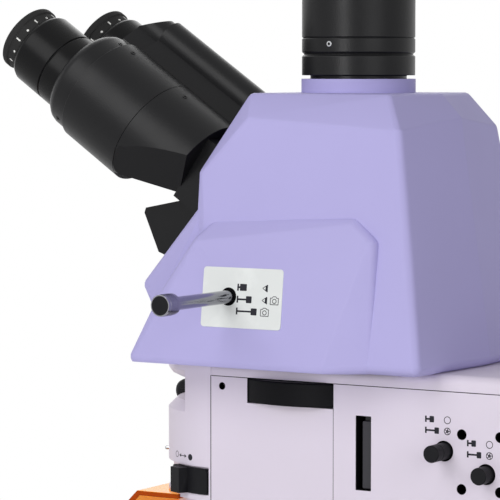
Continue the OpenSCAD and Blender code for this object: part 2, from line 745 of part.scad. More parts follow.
// The head's outline as corner balls, so a smaller ball radius gives the inside of the shell
module ball(p, r) for (s = [-1, 1]) translate([s * p[0], p[1], p[2]]) sphere(r = r, $fn = 16);

crease_half = head_top_half + 12;
upper_corners = [
  [head_top_half - 4, 23, head_top - 5], [crease_half - 5, 28, head_top - 16],
  [head_top_half - 4, 110, head_top - 5], [crease_half - 5, 121, head_top - 22],
  [61.5, 0.5, 513], [62.5, -1.5, 470], [65, 132, 470], [72.5, 141, cover_top + 5], [72.5, 10, cover_top + 5],
  [0, 117, head_top - 5], [0, 127.5, head_top - 16], [0, 138, 466], [0, 146.5, cover_top + 5]];
snout_corners = [
  [61.5, 0, 492], [57.5, -40.5, 447.5], [58, -32, 441], [64, -30, 436], [64, 10, 436], [0, -40.5, 447.5]];
jaw_corners = [
  [64, -30, 440], [68, -28, cover_top + 5], [72, 60, cover_top + 5], [66, 60, 470], [64, 0, 470]];
bulge_corners = [
  [65, 12, 484], [66.5, 100, 486], [70, 112, 476], [73, 112, cover_top + 5],
  [74, 4, 474], [76, 80, 463], [82, 90, cover_top + 3], [82, -34, cover_top + 3], [77, -18, 442],
  [66, -30, cover_top + 3]];

module ball_hull(corners, r) hull() for (p = corners) ball(p, r);
module head_outside() {
  ball_hull(upper_corners, head_edge);
  ball_hull(snout_corners, head_edge);
  ball_hull(jaw_corners, head_edge);
  ball_hull(bulge_corners, head_edge);
  rod_z(head_top - over, collar_top, 0, port_y, collar_r);
}

module head_inside() {
  ball_hull(upper_corners, head_edge - head_wall);
  ball_hull(jaw_corners, head_edge - head_wall);
  block(-60, 60, 0, 120, cover_top - over, cover_top + 20);
  rod_z(head_top - 10, collar_top + over, 0, port_y, 28);
}

module head_shell(side) difference() {
  intersection() {
    head_outside();
    block(side > 0 ? 0 : -100, side > 0 ? 100 : 0, -100, 200, cover_top, collar_top + over);
  }
  head_inside();
  ocular_frame() {
    block(-neck_half - 0.1, neck_half + 0.1, neck_low - 0.1, fill_n + 0.1, -230, -100);
    translate([0, 0, -230]) linear_extrude(130) offset(delta = 0.1) spine_section(0);
  }
  chin(0.1);
  if (side > 0) rod_x(20, 100, splitter_y, splitter_z, splitter_r + 0.25);
}

module head_shell_right() placed() color("mediumpurple") head_shell(1);
module head_shell_left() placed() color("mediumpurple") head_shell(-1);

neck_half = 56;
neck_low = -11;
chin_points = [[-57, 491.5], [-58, 488.5], [-48, 465.5], [-44, 464], [-14, 487], [4, 500], [4, 512],
               [-24, 498]];
module chin(extra) side_profile([for (p = chin_points) p + [0, p[1] > 490 ? extra : -extra]], 40 + extra);

// Section across the eyepiece axes, in the frame of the eyepieces
module barrel(r, rise, e0, e1) translate([ipd_max / 2, rise, e0]) cylinder(h = e1 - e0, r = r);
module both_sides() for (s = [0, 1]) mirror([s, 0, 0]) children();

// The fixed spine between the housings: a roof on each side of a rounded crest
module spine_section(lower) union() {
  root_n = spine_root_n - lower;
  root_x = root_n / tan(fill_angle);
  polygon([[-root_x, root_n], [-crest_r, crest_base - lower], [-crest_r, crest_n - lower],
           [crest_r, crest_n - lower], [crest_r, crest_base - lower], [root_x, root_n], [8, 20], [-8, 20]]);
  translate([0, crest_n - lower]) circle(r = crest_r);
}
module spine(e0, e1, lower) translate([0, 0, e0]) linear_extrude(e1 - e0) spine_section(lower);

// The lower rear of the housings is cut back to a keel, clear of the chin
module keel_cut() both_sides() translate([70, 0, 525.4]) rotate([0, 35, 0]) block(0, 60, -200, 100, -80, 60);

module binocular_neck() placed() color("black") difference() {
  union() {
    difference() {
      ocular_frame() {
        both_sides() barrel(barrel_r, barrel_rise, neck_rear_e, split_e);
        block(-ipd_max / 2, ipd_max / 2, -24, fill_n, neck_rear_e, split_e);
      }
      keel_cut();
      translate([0, -66, 513]) rotate([-15.4, 0, 0]) block(-100, 100, -60, 140, -60, 0);
    }
    ocular_frame() block(-neck_half, neck_half, neck_low, fill_n, -180, neck_rear_e + over);
    ocular_frame() spine(neck_rear_e - 14, barrel_front_e, 0);
    ocular_frame() difference() {
      spine(barrel_front_e - over, cap_front_e - 0.5, 2);
      side_profile([[40, cap_front_e], [60, cap_front_e], [60, cap_front_e - 20]], 30);
    }
    chin(0);
  }
  ocular_frame() translate([0, 0, split_e]) cylinder(h = 100, r = ring_r + gap);
  ocular_frame() translate([0, 0, split_e - 30]) cylinder(h = 130, r = spindle_r);
}

module ocular_spindle() placed() color("silver") ocular_frame()
  translate([0, 0, split_e - 30]) cylinder(h = cap_front_e - split_e + 30 - 1, r = spindle_r);

// One prism housing: a barrel beside the spindle, and the ring that it swings on.
// The barrel stays clear of the other housing's ring, between far_e0 and far_e1
module ocular_housing(ring_e0, ring_e1, far_e0, far_e1) difference() {
  union() {
    difference() {
      barrel(barrel_r, barrel_rise, split_e + gap, barrel_front_e);
      sector_cut(split_e, barrel_front_e);
      translate([0, 0, far_e0]) cylinder(h = far_e1 - far_e0, r = ring_r + gap);
    }
    translate([0, 0, ring_e0]) cylinder(h = ring_e1 - ring_e0, r = ring_r);
  }
  translate([0, 0, split_e - over]) cylinder(h = 100, r = spindle_r + running);
}

module sector_cut(e0, e1) {
  translate([0, 0, e0 - over]) rotate([0, 0, fill_angle - 0.4])
    block(-150, 150, 0, 150, 0, e1 - e0 + 2 * over);
  translate([0, 0, e0 - over]) rotate([0, 0, -closing_angle])
    block(-150, 150, -150, 0, 0, e1 - e0 + 2 * over);
}

module ocular_housing_right() placed() color("black") difference() {
  ocular_frame() ocular_housing(split_e + gap, knuckle_e - gap / 2, knuckle_e - gap / 2, over);
  keel_cut();
}
module ocular_housing_left() placed() color("black") difference() {
  ocular_frame() mirror([1, 0, 0]) ocular_housing(knuckle_e + gap / 2, cap_front_e - 2,
                                                    split_e - over, knuckle_e + gap / 2);
  keel_cut();
}

module front_cap() difference() {
  translate([ipd_max / 2, barrel_rise - 0.5, barrel_front_e]) rotate_extrude() polygon([
    [0, 0], [cap_r, 0], [cap_r, cap_l - 7], [cap_r - 0.6, cap_l - 4.5], [cap_r - 2.2, cap_l - 2.2],
    [cap_r - 4.5, cap_l - 0.6], [cap_r - 7, cap_l], [0, cap_l]]);
  sector_cut(barrel_front_e, cap_front_e);
  translate([0, 0, barrel_front_e - over]) cylinder(h = cap_l + 2 * over, r = ring_r + gap);
  translate([ipd_max / 2, 0, barrel_front_e + 1.5]) cylinder(h = cap_l, r = eye_barrel_r + running);
}
module front_cap_right() placed() color("black") ocular_frame() front_cap();
module front_cap_left() placed() color("black") ocular_frame() mirror([1, 0, 0]) front_cap();

module eyepiece() translate([ipd_max / 2, 0, 0]) difference() {
  rotate_extrude() polygon([
    [0, barrel_front_e + 2], [eye_barrel_r, barrel_front_e + 2], [eye_barrel_r, cap_front_e],
    [eyepiece_r, cap_front_e], [eyepiece_r, cap_front_e + 12.4], [eyepiece_r - 0.8, cap_front_e + 12.7],
    [eyepiece_r - 0.8, cap_front_e + 13.3], [eyepiece_r, cap_front_e + 13.6], [eyepiece_r, eye_shoulder_e - 3],
    [eyepiece_r - 1, eye_shoulder_e - 0.8], [eyepiece_r - 2, eye_shoulder_e], [14.5, eye_shoulder_e],
    [14.5, eye_front_e - 2.5], [0, eye_front_e - 2.5]]);
  translate([0, 0, eye_front_e - 6]) cylinder(h = 10, r = 12);
}
module eyepiece_right() placed() color("black") ocular_frame() eyepiece();
module eyepiece_left() placed() color("black") ocular_frame() mirror([1, 0, 0]) eyepiece();

module dioptre_ring() translate([ipd_max / 2, 0, 0]) rotate_extrude() polygon([
  [14.5 + running, eye_shoulder_e + gap], [dioptre_r, eye_shoulder_e + gap], [dioptre_r, eye_front_e - 5.2],
  [dioptre_r + 0.8, eye_front_e - 4.8], [dioptre_r + 0.8, eye_front_e - 1.2], [dioptre_r - 0.4, eye_front_e],
  [16, eye_front_e], [14.5 + running, eye_front_e - 2]]);
module dioptre_ring_right() placed() color("black") ocular_frame() dioptre_ring();
module dioptre_ring_left() placed() color("black") ocular_frame() mirror([1, 0, 0]) dioptre_ring();

// Camera tube, standing in the collar on top of the head
module camera_tube() placed() color("black") translate([0, port_y, 0]) rotate_extrude() polygon([
  [9, head_top - 8], [28, head_top - 8], [28, collar_top + 2], [camera_r, collar_top + 2],
  [camera_r, collar_top + 13], [camera_r - 1.4, collar_top + 14.2], [camera_r, collar_top + 15.4],
  [camera_r, collar_top + 23.2], [camera_r - 0.9, collar_top + 23.6], [camera_r, collar_top + 24],
  [camera_r, camera_top], [27, camera_top],
  [27, camera_top + 6], [20, camera_flange], [camera_thread_r, camera_flange],
  [camera_thread_r, camera_flange + camera_thread_l], [9, camera_flange + camera_thread_l]]);

// Beam splitter: pull rod, carriage with three stations, two prisms
carriage_x = 25;
module splitter_rod() placed() color("silver") union() {
  rod_x(carriage_x + 37, splitter_end - 12, splitter_y, splitter_z, splitter_r);
  rod_x(splitter_end - 12, splitter_end, splitter_y, splitter_z, 6);
  difference() {
    block(carriage_x - 37, carriage_x + 37.5, splitter_y - 14, splitter_y + 14, splitter_z - 14, splitter_z + 14);
    for (x = [-25, 0, 25]) block(carriage_x + x - 11, carriage_x + x + 11, splitter_y - 11, splitter_y + 11,
                                splitter_z - 15, splitter_z + 15);
  }
}

module splitter_prism() placed() color("aliceblue") for (x = [0, 25])
  block(carriage_x + x - 11, carriage_x + x + 11, splitter_y - 11, splitter_y + 11,
        splitter_z - 11, splitter_z + 11);

base_housing();
base_plate();
rubber_feet();
power_inlet();
power_switch();
brightness_knob();
field_lens_ring();
field_lens();
stand_column();
coarse_focus_knobs();
fine_focus_knobs();
tension_collar();
stage_carrier();
stage_plate();
specimen_holder();
specimen_clip();
stage_y_knob();
stage_x_knob();
condenser_carrier();
condenser_knob();
condenser_body();
condenser_lens();
aperture_lever();
nosepiece_mount();
nosepiece_turret();
objective_scan();
objective_low();
objective_high();
objective_oil();
nose_housing();
turret_housing();
illuminator_housing();
top_cover();
head_lock_knob();
shutter_slider();
filter_turret();
filter_cubes();
filter_slider();
field_stop_rod();
aperture_stop_rod();
iris_diaphragms();
collector_lens();
uv_shield();
lamp_house();
lamp_emitter();
head_shell_right();
head_shell_left();
binocular_neck();
ocular_spindle();
ocular_housing_right();
ocular_housing_left();
front_cap_right();
front_cap_left();
eyepiece_right();
eyepiece_left();
dioptre_ring_right();
dioptre_ring_left();
camera_tube();
splitter_rod();
splitter_prism();
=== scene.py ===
import json
import math
import bmesh
import bpy
from mathutils import Matrix, Vector
from mathutils.bvhtree import BVHTree

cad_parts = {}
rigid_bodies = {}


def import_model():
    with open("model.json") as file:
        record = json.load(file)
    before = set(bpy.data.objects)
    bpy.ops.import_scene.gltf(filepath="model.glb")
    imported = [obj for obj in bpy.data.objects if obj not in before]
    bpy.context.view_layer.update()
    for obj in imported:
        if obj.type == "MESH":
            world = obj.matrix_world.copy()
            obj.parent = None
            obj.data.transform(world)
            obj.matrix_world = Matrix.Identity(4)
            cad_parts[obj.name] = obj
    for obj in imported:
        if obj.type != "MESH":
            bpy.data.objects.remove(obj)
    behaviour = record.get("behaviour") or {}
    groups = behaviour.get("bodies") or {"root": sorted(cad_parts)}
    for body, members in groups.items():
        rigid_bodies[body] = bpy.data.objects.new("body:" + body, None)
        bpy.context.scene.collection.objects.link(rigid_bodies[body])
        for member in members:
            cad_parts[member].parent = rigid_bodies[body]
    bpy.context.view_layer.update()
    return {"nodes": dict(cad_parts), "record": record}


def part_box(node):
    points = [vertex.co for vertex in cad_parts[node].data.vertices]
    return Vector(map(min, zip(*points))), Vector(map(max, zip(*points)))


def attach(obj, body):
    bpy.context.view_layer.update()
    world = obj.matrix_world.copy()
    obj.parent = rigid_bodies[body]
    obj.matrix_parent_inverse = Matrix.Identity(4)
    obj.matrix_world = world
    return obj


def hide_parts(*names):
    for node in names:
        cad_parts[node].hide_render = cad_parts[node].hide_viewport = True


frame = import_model()
nodes = frame["nodes"]
bodyOf = {}
for bodyName, members in frame["record"]["behaviour"]["bodies"].items():
    for member in members:
        bodyOf[member] = bodyName
print("frame loaded")

# The drawing's millimetres have the arm's nose at 0, 0. The camera thread ties them to the frame's metres
thread = next(mount for mount in frame["record"]["mounts"] if mount["name"] == "camera_thread")
threadInDrawing = {"x": 0, "y": 65}
drawing = {axis: threadInDrawing[axis] - 1000 * thread["pos_m"][place] for place, axis in enumerate("xy")}


def at(x, y, z):
    return Vector(((x - drawing["x"]) / 1000, (y - drawing["y"]) / 1000, z / 1000))


def mm(value):
    return value / 1000


# A colour as a picture shows it, 0 to 255, to the linear values that shaders take
def shade(r, g, b):
    parts = [c / 255 for c in (r, g, b)]
    return tuple(c / 12.92 if c < 0.0404 else ((c + 0.055) / 1.055) ** 2.4 for c in parts) + (1.0,)


# Camera, standing where the photographer stood. The focal length is in pixels of the photo's width
view = {"place": (1413.209, 857.032, 575.749), "turn": 31.5, "tip": 3.8, "focal": 2780, "width": 500,
        "sensor": 36, "near": 0.05, "far": 50}


def makeCamera():
    turn, tip = math.radians(view["turn"]), math.radians(view["tip"])
    back = Vector((math.cos(tip) * math.cos(turn), math.cos(tip) * math.sin(turn), math.sin(tip)))
    right = Vector((-math.sin(turn), math.cos(turn), 0))
    up = back.cross(right)
    data = bpy.data.cameras.new("photoCamera")
    data.sensor_fit = "HORIZONTAL"
    data.sensor_width = view["sensor"]
    data.lens = view["sensor"] * view["focal"] / view["width"]
    data.clip_start, data.clip_end = view["near"], view["far"]
    camera = bpy.data.objects.new("photoCamera", data)
    turned = Matrix((right, up, back)).transposed().to_4x4()
    camera.matrix_world = Matrix.Translation(at(*view["place"])) @ turned
    bpy.context.scene.collection.objects.link(camera)
    bpy.context.scene.camera = camera


makeCamera()
bpy.context.scene.view_settings.view_transform = "Standard"


# Shader building: an output socket that takes part in sums
class Wire:
    def __init__(self, tree, socket):
        self.tree, self.socket = tree, socket

    def maths(self, operation, first, second):
        item = self.tree.nodes.new("ShaderNodeMath")
        item.operation = operation
        for place, value in enumerate((first, second)):
            if isinstance(value, Wire):
                self.tree.links.new(value.socket, item.inputs[place])
            else:
                item.inputs[place].default_value = value
        return Wire(self.tree, item.outputs[0])

    def __add__(self, other): return self.maths("ADD", self, other)
    def __radd__(self, other): return self.maths("ADD", other, self)
    def __sub__(self, other): return self.maths("SUBTRACT", self, other)
    def __mul__(self, other): return self.maths("MULTIPLY", self, other)
    def __truediv__(self, other): return self.maths("DIVIDE", self, other)
    def __pow__(self, other): return self.maths("POWER", self, other)
    def clamped(self): return self.maths("MINIMUM", self.maths("MAXIMUM", self, 0.0), 1.0)


# A material in the making: every finish gets its noise from the object's own place
class Finish:
    def __init__(self, name):
        self.material = bpy.data.materials.new(name)
        self.material.use_nodes = True
        self.tree = self.material.node_tree
        self.tree.nodes.clear()
        self.place = self.node("TexCoord", output="Object")

    def node(self, kind, sockets=None, output=0):
        item = self.tree.nodes.new("ShaderNode" + kind)
        for key, value in (sockets or {}).items():
            if isinstance(value, Wire):
                self.tree.links.new(value.socket, item.inputs[key])
            else:
                item.inputs[key].default_value = value
        return Wire(self.tree, item.outputs[output])

    def noise(self, scale, detail, rough=0.5):
        return self.node("TexNoise", {"Vector": self.place, "Scale": scale, "Detail": detail,
                                      "Roughness": rough})

    def mix(self, factor, first, second):
        item = self.tree.nodes.new("ShaderNodeMix")
        item.data_type = "RGBA"
        for key, value in ((0, factor), (6, first), (7, second)):
            if isinstance(value, Wire):
                self.tree.links.new(value.socket, item.inputs[key])
            else:
                item.inputs[key].default_value = value
        return Wire(self.tree, item.outputs[2])

    def bump(self, height, strength, distance):
        return self.node("Bump", {"Height": height, "Strength": strength, "Distance": distance})

    def surface(self, **sockets):
        names = {"colour": "Base Color", "rough": "Roughness", "metal": "Metallic", "normal": "Normal",
                 "through": "Transmission Weight", "ior": "IOR", "level": "Specular IOR Level",
                 "glow": "Emission Color", "glowStrength": "Emission Strength"}
        return self.node("BsdfPrincipled", {names[key]: value for key, value in sockets.items()})

    def done(self, shader):
        output = self.tree.nodes.new("ShaderNodeOutputMaterial")
        self.tree.links.new(shader.socket, output.inputs["Surface"])
        return self.material


# Enamels: a slow drift of tone, a fine orange peel in the lacquer, and faint rubbed patches
enamels = {
    "head": {"colour": (180, 174, 223), "rough": 0.50, "peel": 0.10, "drift": 0.03, "level": 0.15},
    "arm": {"colour": (222, 213, 227), "rough": 0.48, "peel": 0.10, "drift": 0.025, "level": 0.2},
    "tube": {"colour": (17, 17, 19), "rough": 0.36, "peel": 0.16, "drift": 0.08, "level": 0.2},
    "anodised": {"colour": (14, 14, 15), "rough": 0.28, "peel": 0.05, "drift": 0.08, "level": 0.12},
    "slider": {"colour": (50, 49, 54), "rough": 0.42, "peel": 0.10, "drift": 0.06, "level": 0.3},
    "blackPart": {"colour": (14, 14, 17), "rough": 0.45, "peel": 0.14, "drift": 0.08, "level": 0.08},
}
# Scales are waves per metre, heights are metres
lacquer = {"driftScale": 9, "driftReach": 1.6, "peelScale": 1500, "peelHeight": 0.0004, "rubScale": 60,
           "rubReach": 0.10}


def enamel(name):
    spec = enamels[name]
    make = Finish(name + "Enamel")
    drift = make.noise(lacquer["driftScale"], 3) - 0.5
    peel = make.noise(lacquer["peelScale"], 1.5)
    rub = make.noise(lacquer["rubScale"], 4, 0.65)
    base = shade(*spec["colour"])
    dark = tuple(c * (1 - spec["drift"] * 2) for c in base[:3]) + (1,)
    colour = make.mix((drift * lacquer["driftReach"] + 0.5).clamped(), dark, base)
    rough = spec["rough"] + (rub - 0.5) * lacquer["rubReach"]
    normal = make.bump(peel, spec["peel"], lacquer["peelHeight"])
    return make.done(make.surface(colour=colour, rough=rough, normal=normal, level=spec["level"]))


# Moulded plastic, rubber and prints: matt, with a fine eroded grain and paler worn patches
moulded = {
    "knob": {"colour": (24, 24, 27), "rough": 0.46, "grain": 2600, "depth": 0.20, "level": 0.1},
    "rubber": {"colour": (42, 42, 42), "rough": 0.72, "grain": 1800, "depth": 0.35, "level": 0.12},
    "label": {"colour": (218, 221, 220), "rough": 0.42, "grain": 2200, "depth": 0.06, "level": 0.4},
    "print": {"colour": (30, 30, 38), "rough": 0.55, "grain": 2600, "depth": 0.05, "level": 0.2},
    "whitePrint": {"colour": (225, 225, 222), "rough": 0.55, "grain": 2600, "depth": 0.05, "level": 0.3},
    "redPrint": {"colour": (176, 34, 30), "rough": 0.4, "grain": 2600, "depth": 0.05, "level": 0.3},
    "yellowPrint": {"colour": (226, 182, 36), "rough": 0.4, "grain": 2600, "depth": 0.05, "level": 0.3},
    "bluePrint": {"colour": (52, 104, 178), "rough": 0.4, "grain": 2600, "depth": 0.05, "level": 0.3},
    # hole: near-black used as painted shade in holes, recesses, the slot and the rod's hole, and as the colour of
    # seam lines and eyepiece stops
    "hole": {"colour": (7, 7, 8), "rough": 0.8, "grain": 1500, "depth": 0.1, "level": 0.05},
}
worn = {"scale": 45, "pale": 1.18, "lift": 0.004, "contrast": 2, "from": 0.9, "roughReach": 0.14,
        "grainHeight": 0.0003}


def plastic(name):
    spec = moulded[name]
    make = Finish(name + "Plastic")
    grain = make.noise(spec["grain"], 2, 0.6)
    wear = make.noise(worn["scale"], 4, 0.6)
    base = shade(*spec["colour"])
    pale = tuple(min(1, c * worn["pale"] + worn["lift"]) for c in base[:3]) + (1,)
    colour = make.mix((wear * worn["contrast"] - worn["from"]).clamped(), base, pale)
    rough = spec["rough"] + (wear - 0.5) * worn["roughReach"]
    normal = make.bump(grain, spec["depth"], worn["grainHeight"])
    return make.done(make.surface(colour=colour, rough=rough, normal=normal, level=spec["level"]))


# Bare metals: turned or brushed, with tool marks across the axis
metals = {
    "chrome": {"colour": (150, 150, 157), "rough": 0.16, "marks": 0.02, "scale": 900},
    "steel": {"colour": (190, 191, 194), "rough": 0.26, "marks": 0.10, "scale": 1400},
    "satinChrome": {"colour": (205, 205, 208), "rough": 0.22, "marks": 0.05, "scale": 1600},
}
smeared = {"scale": 40, "dull": 0.86, "contrast": 1.6, "from": 0.3, "roughReach": 0.10, "markHeight": 0.0002}


def metal(name):
    spec = metals[name]
    make = Finish(name + "Metal")
    marks = make.noise(spec["scale"], 2, 0.7)
    smear = make.noise(smeared["scale"], 4, 0.6)
    base = shade(*spec["colour"])
    dull = tuple(c * smeared["dull"] for c in base[:3]) + (1,)
    colour = make.mix((smear * smeared["contrast"] - smeared["from"]).clamped(), base, dull)
    rough = spec["rough"] + (smear - 0.5) * smeared["roughReach"]
    normal = make.bump(marks, spec["marks"], smeared["markHeight"])
    return make.done(make.surface(colour=colour, rough=rough, metal=1.0, normal=normal))


# Amber acrylic: a painted glow (emission) stands in for its fluorescence, a little on the sheet, and its cut
# edges carry painted shade
acrylics = {
    # strength is the emission of the painted glow; the edge colours are a darker amber as painted shade
    "amberSheet": {"low": (236, 156, 2), "high": (240, 166, 6), "strength": 0.3},
    "amberShadedEdge": {"low": (158, 58, 8), "high": (172, 70, 10), "strength": 0.02},
}
acrylic = {"rough": 0.12, "scratch": 0.06, "through": 0.03, "ior": 1.45, "level": 0.05, "glow": (255, 140, 10)}
lensGlass = {"low": (196, 214, 222), "high": (206, 220, 216), "rough": 0.04, "haze": 0.02, "through": 0.9,
             "ior": 1.52}


def amberSheet(name):
    spec = acrylics[name]
    make = Finish(name)
    haze = make.noise(30, 3)
    scratch = make.noise(700, 3, 0.7)
    colour = make.mix(haze, shade(*spec["low"]), shade(*spec["high"]))
    rough = acrylic["rough"] + scratch * acrylic["scratch"]
    # The emission set here is a painted glow, not a lamp
    return make.done(make.surface(colour=colour, rough=rough, through=acrylic["through"], ior=acrylic["ior"],
                                  level=acrylic["level"], glow=shade(*acrylic["glow"]),
                                  glowStrength=spec["strength"]))


def coatedGlass():
    make = Finish("coatedGlass")
    haze = make.noise(25, 2)
    colour = make.mix(haze, shade(*lensGlass["low"]), shade(*lensGlass["high"]))
    rough = lensGlass["rough"] + haze * lensGlass["haze"]
    return make.done(make.surface(colour=colour, rough=rough, through=lensGlass["through"],
                                  ior=lensGlass["ior"]))


headEnamel, armEnamel, tubeEnamel = enamel("head"), enamel("arm"), enamel("tube")
anodised, blackPart, sliderGrey = enamel("anodised"), enamel("blackPart"), enamel("slider")
knobPlastic, rubber, labelPlastic = plastic("knob"), plastic("rubber"), plastic("label")
darkPrint, whitePrint, shadeAndSeamBlack = plastic("print"), plastic("whitePrint"), plastic("hole")
redPrint, yellowPrint, bluePrint = plastic("redPrint"), plastic("yellowPrint"), plastic("bluePrint")
chrome, steel, satinChrome = metal("chrome"), metal("steel"), metal("satinChrome")
amber, amberShadedEdge, glass = amberSheet("amberSheet"), amberSheet("amberShadedEdge"), coatedGlass()
print("finishes made")


# Makes an object of a mesh, shaded smooth below an angle, and ties it to its body and slot
def piece(name, mesh, finish, body, smooth=38):
    item = bpy.data.objects.new(name, mesh)
    bpy.context.scene.collection.objects.link(item)
    mesh.materials.clear()
    mesh.materials.append(finish)
    mesh.shade_smooth()
    mesh.set_sharp_from_angle(angle=math.radians(smooth))
    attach(item, body)
    return item


def fromBmesh(work, name):
    bmesh.ops.recalc_face_normals(work, faces=work.faces)
    mesh = bpy.data.meshes.new(name)
    work.to_mesh(mesh)
    work.free()
    return mesh


# Copies a CAD node and rounds its edges, then stands for it. Edges under the bevel angle stay as they are
softening = {"weld": 2e-6, "flat": 0.3, "angle": 28, "steps": 2}


def refine(node, width, finish, merge=True):
    work = bmesh.new()
    work.from_mesh(nodes[node].data)
    bmesh.ops.remove_doubles(work, verts=work.verts, dist=softening["weld"])
    if merge:
        flat = math.radians(softening["flat"])
        bmesh.ops.dissolve_limit(work, angle_limit=flat, verts=work.verts, edges=work.edges)
    mesh = fromBmesh(work, node + "Skin")
    item = piece(node + "Skin", mesh, finish, bodyOf[node])
    bevel = item.modifiers.new("softEdges", "BEVEL")
    bevel.width = mm(width)
    bevel.segments = softening["steps"]
    bevel.limit_method = "ANGLE"
    bevel.angle_limit = math.radians(softening["angle"])
    bevel.use_clamp_overlap = True
    bevel.miter_outer = "MITER_ARC"
    weigh = item.modifiers.new("evenNormals", "WEIGHTED_NORMAL")
    weigh.keep_sharp = True
    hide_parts(node)


def keep(node, finish):
    mesh = nodes[node].data
    mesh.materials.clear()
    mesh.materials.append(finish)


# A local frame whose z axis runs along a direction
def axisFrame(origin, axis):
    turn = Vector((0, 0, 1)).rotation_difference(Vector(axis).normalized()).to_matrix().to_4x4()
    return Matrix.Translation(origin) @ turn


# Turns a profile round an axis: its points are (radius, distance along the axis) in mm
def lathe(name, points, origin, axis, finish, body, steps=64, closed=True):
    place = axisFrame(origin, axis)
    work = bmesh.new()
    rings = []
    for radius, reach in points:
        if radius:
            turns = [2 * math.pi * i / steps for i in range(steps)]
            rings.append([work.verts.new(place @ Vector((mm(radius) * math.cos(a), mm(radius) * math.sin(a),
                                                         mm(reach)))) for a in turns])
        else:
            rings.append([work.verts.new(place @ Vector((0, 0, mm(reach))))] * steps)
    pairs = list(zip(rings, rings[1:]))
    if closed:
        pairs.append((rings[-1], rings[0]))
    for low, high in pairs:
        for i in range(steps):
            corners = []
            for corner in (low[i], low[(i + 1) % steps], high[(i + 1) % steps], high[i]):
                if corner not in corners:
                    corners.append(corner)
            if len(corners) > 2:
                work.faces.new(corners)
    return piece(name, fromBmesh(work, name), finish, body)


# A local frame on a surface: origin, outward normal, and which way is up on it
def facing(origin, normal, up):
    normal = Vector(normal).normalized()
    side = Vector(up).cross(normal).normalized()
    return Matrix.Translation(origin) @ Matrix((side, normal.cross(side), normal)).transposed().to_4x4()


# Thin printed or cut shapes: outlines in mm on a local frame, with a thickness along its normal
def plates(name, outlines, place, low, high, finish, body, slotName, soft=0.0):
    work = bmesh.new()
    for outline in outlines:
        bottom = [work.verts.new(place @ Vector((mm(u), mm(v), mm(low)))) for u, v in outline]
        top = [work.verts.new(place @ Vector((mm(u), mm(v), mm(high)))) for u, v in outline]
        work.faces.new(list(reversed(bottom)))
        work.faces.new(top)
        for i in range(len(outline)):
            j = (i + 1) % len(outline)
            work.faces.new((bottom[i], bottom[j], top[j], top[i]))
    item = piece(name, fromBmesh(work, name), finish, body)
    if soft:
        bevel = item.modifiers.new("softEdges", "BEVEL")
        bevel.width = mm(soft)
        bevel.segments = 2
        bevel.limit_method = "ANGLE"


# Outlines in mm, anticlockwise
def rectangle(u0, v0, u1, v1, corner=0.0, steps=5):
    if not corner:
        return [(u0, v0), (u1, v0), (u1, v1), (u0, v1)]
    outline = []
    centres = ((u1 - corner, v0 + corner), (u1 - corner, v1 - corner), (u0 + corner, v1 - corner),
               (u0 + corner, v0 + corner))
    for (cu, cv), start in zip(centres, (-90, 0, 90, 180)):
        for i in range(steps + 1):
            angle = math.radians(start + 90 * i / steps)
            outline.append((cu + corner * math.cos(angle), cv + corner * math.sin(angle)))
    return outline


def disc(u, v, radius, steps=24):
    turns = [2 * math.pi * i / steps for i in range(steps)]
    return [(u + radius * math.cos(a), v + radius * math.sin(a)) for a in turns]


def ringStrips(u, v, outer, inner, steps=24):
    strips = []
    for i in range(steps):
        a, b = 2 * math.pi * i / steps, 2 * math.pi * (i + 1) / steps
        corners = ((inner, a), (outer, a), (outer, b), (inner, b))
        strips.append([(u + r * math.cos(t), v + r * math.sin(t)) for r, t in corners])
    return strips


# Where a straight line meets a CAD node
def touch(node, start, direction):
    mesh = nodes[node].data
    tree = BVHTree.FromPolygons([v.co for v in mesh.vertices], [p.vertices for p in mesh.polygons])
    place = tree.ray_cast(start, Vector(direction))[0]
    if place is None:
        raise ValueError("no surface of " + node)
    return place


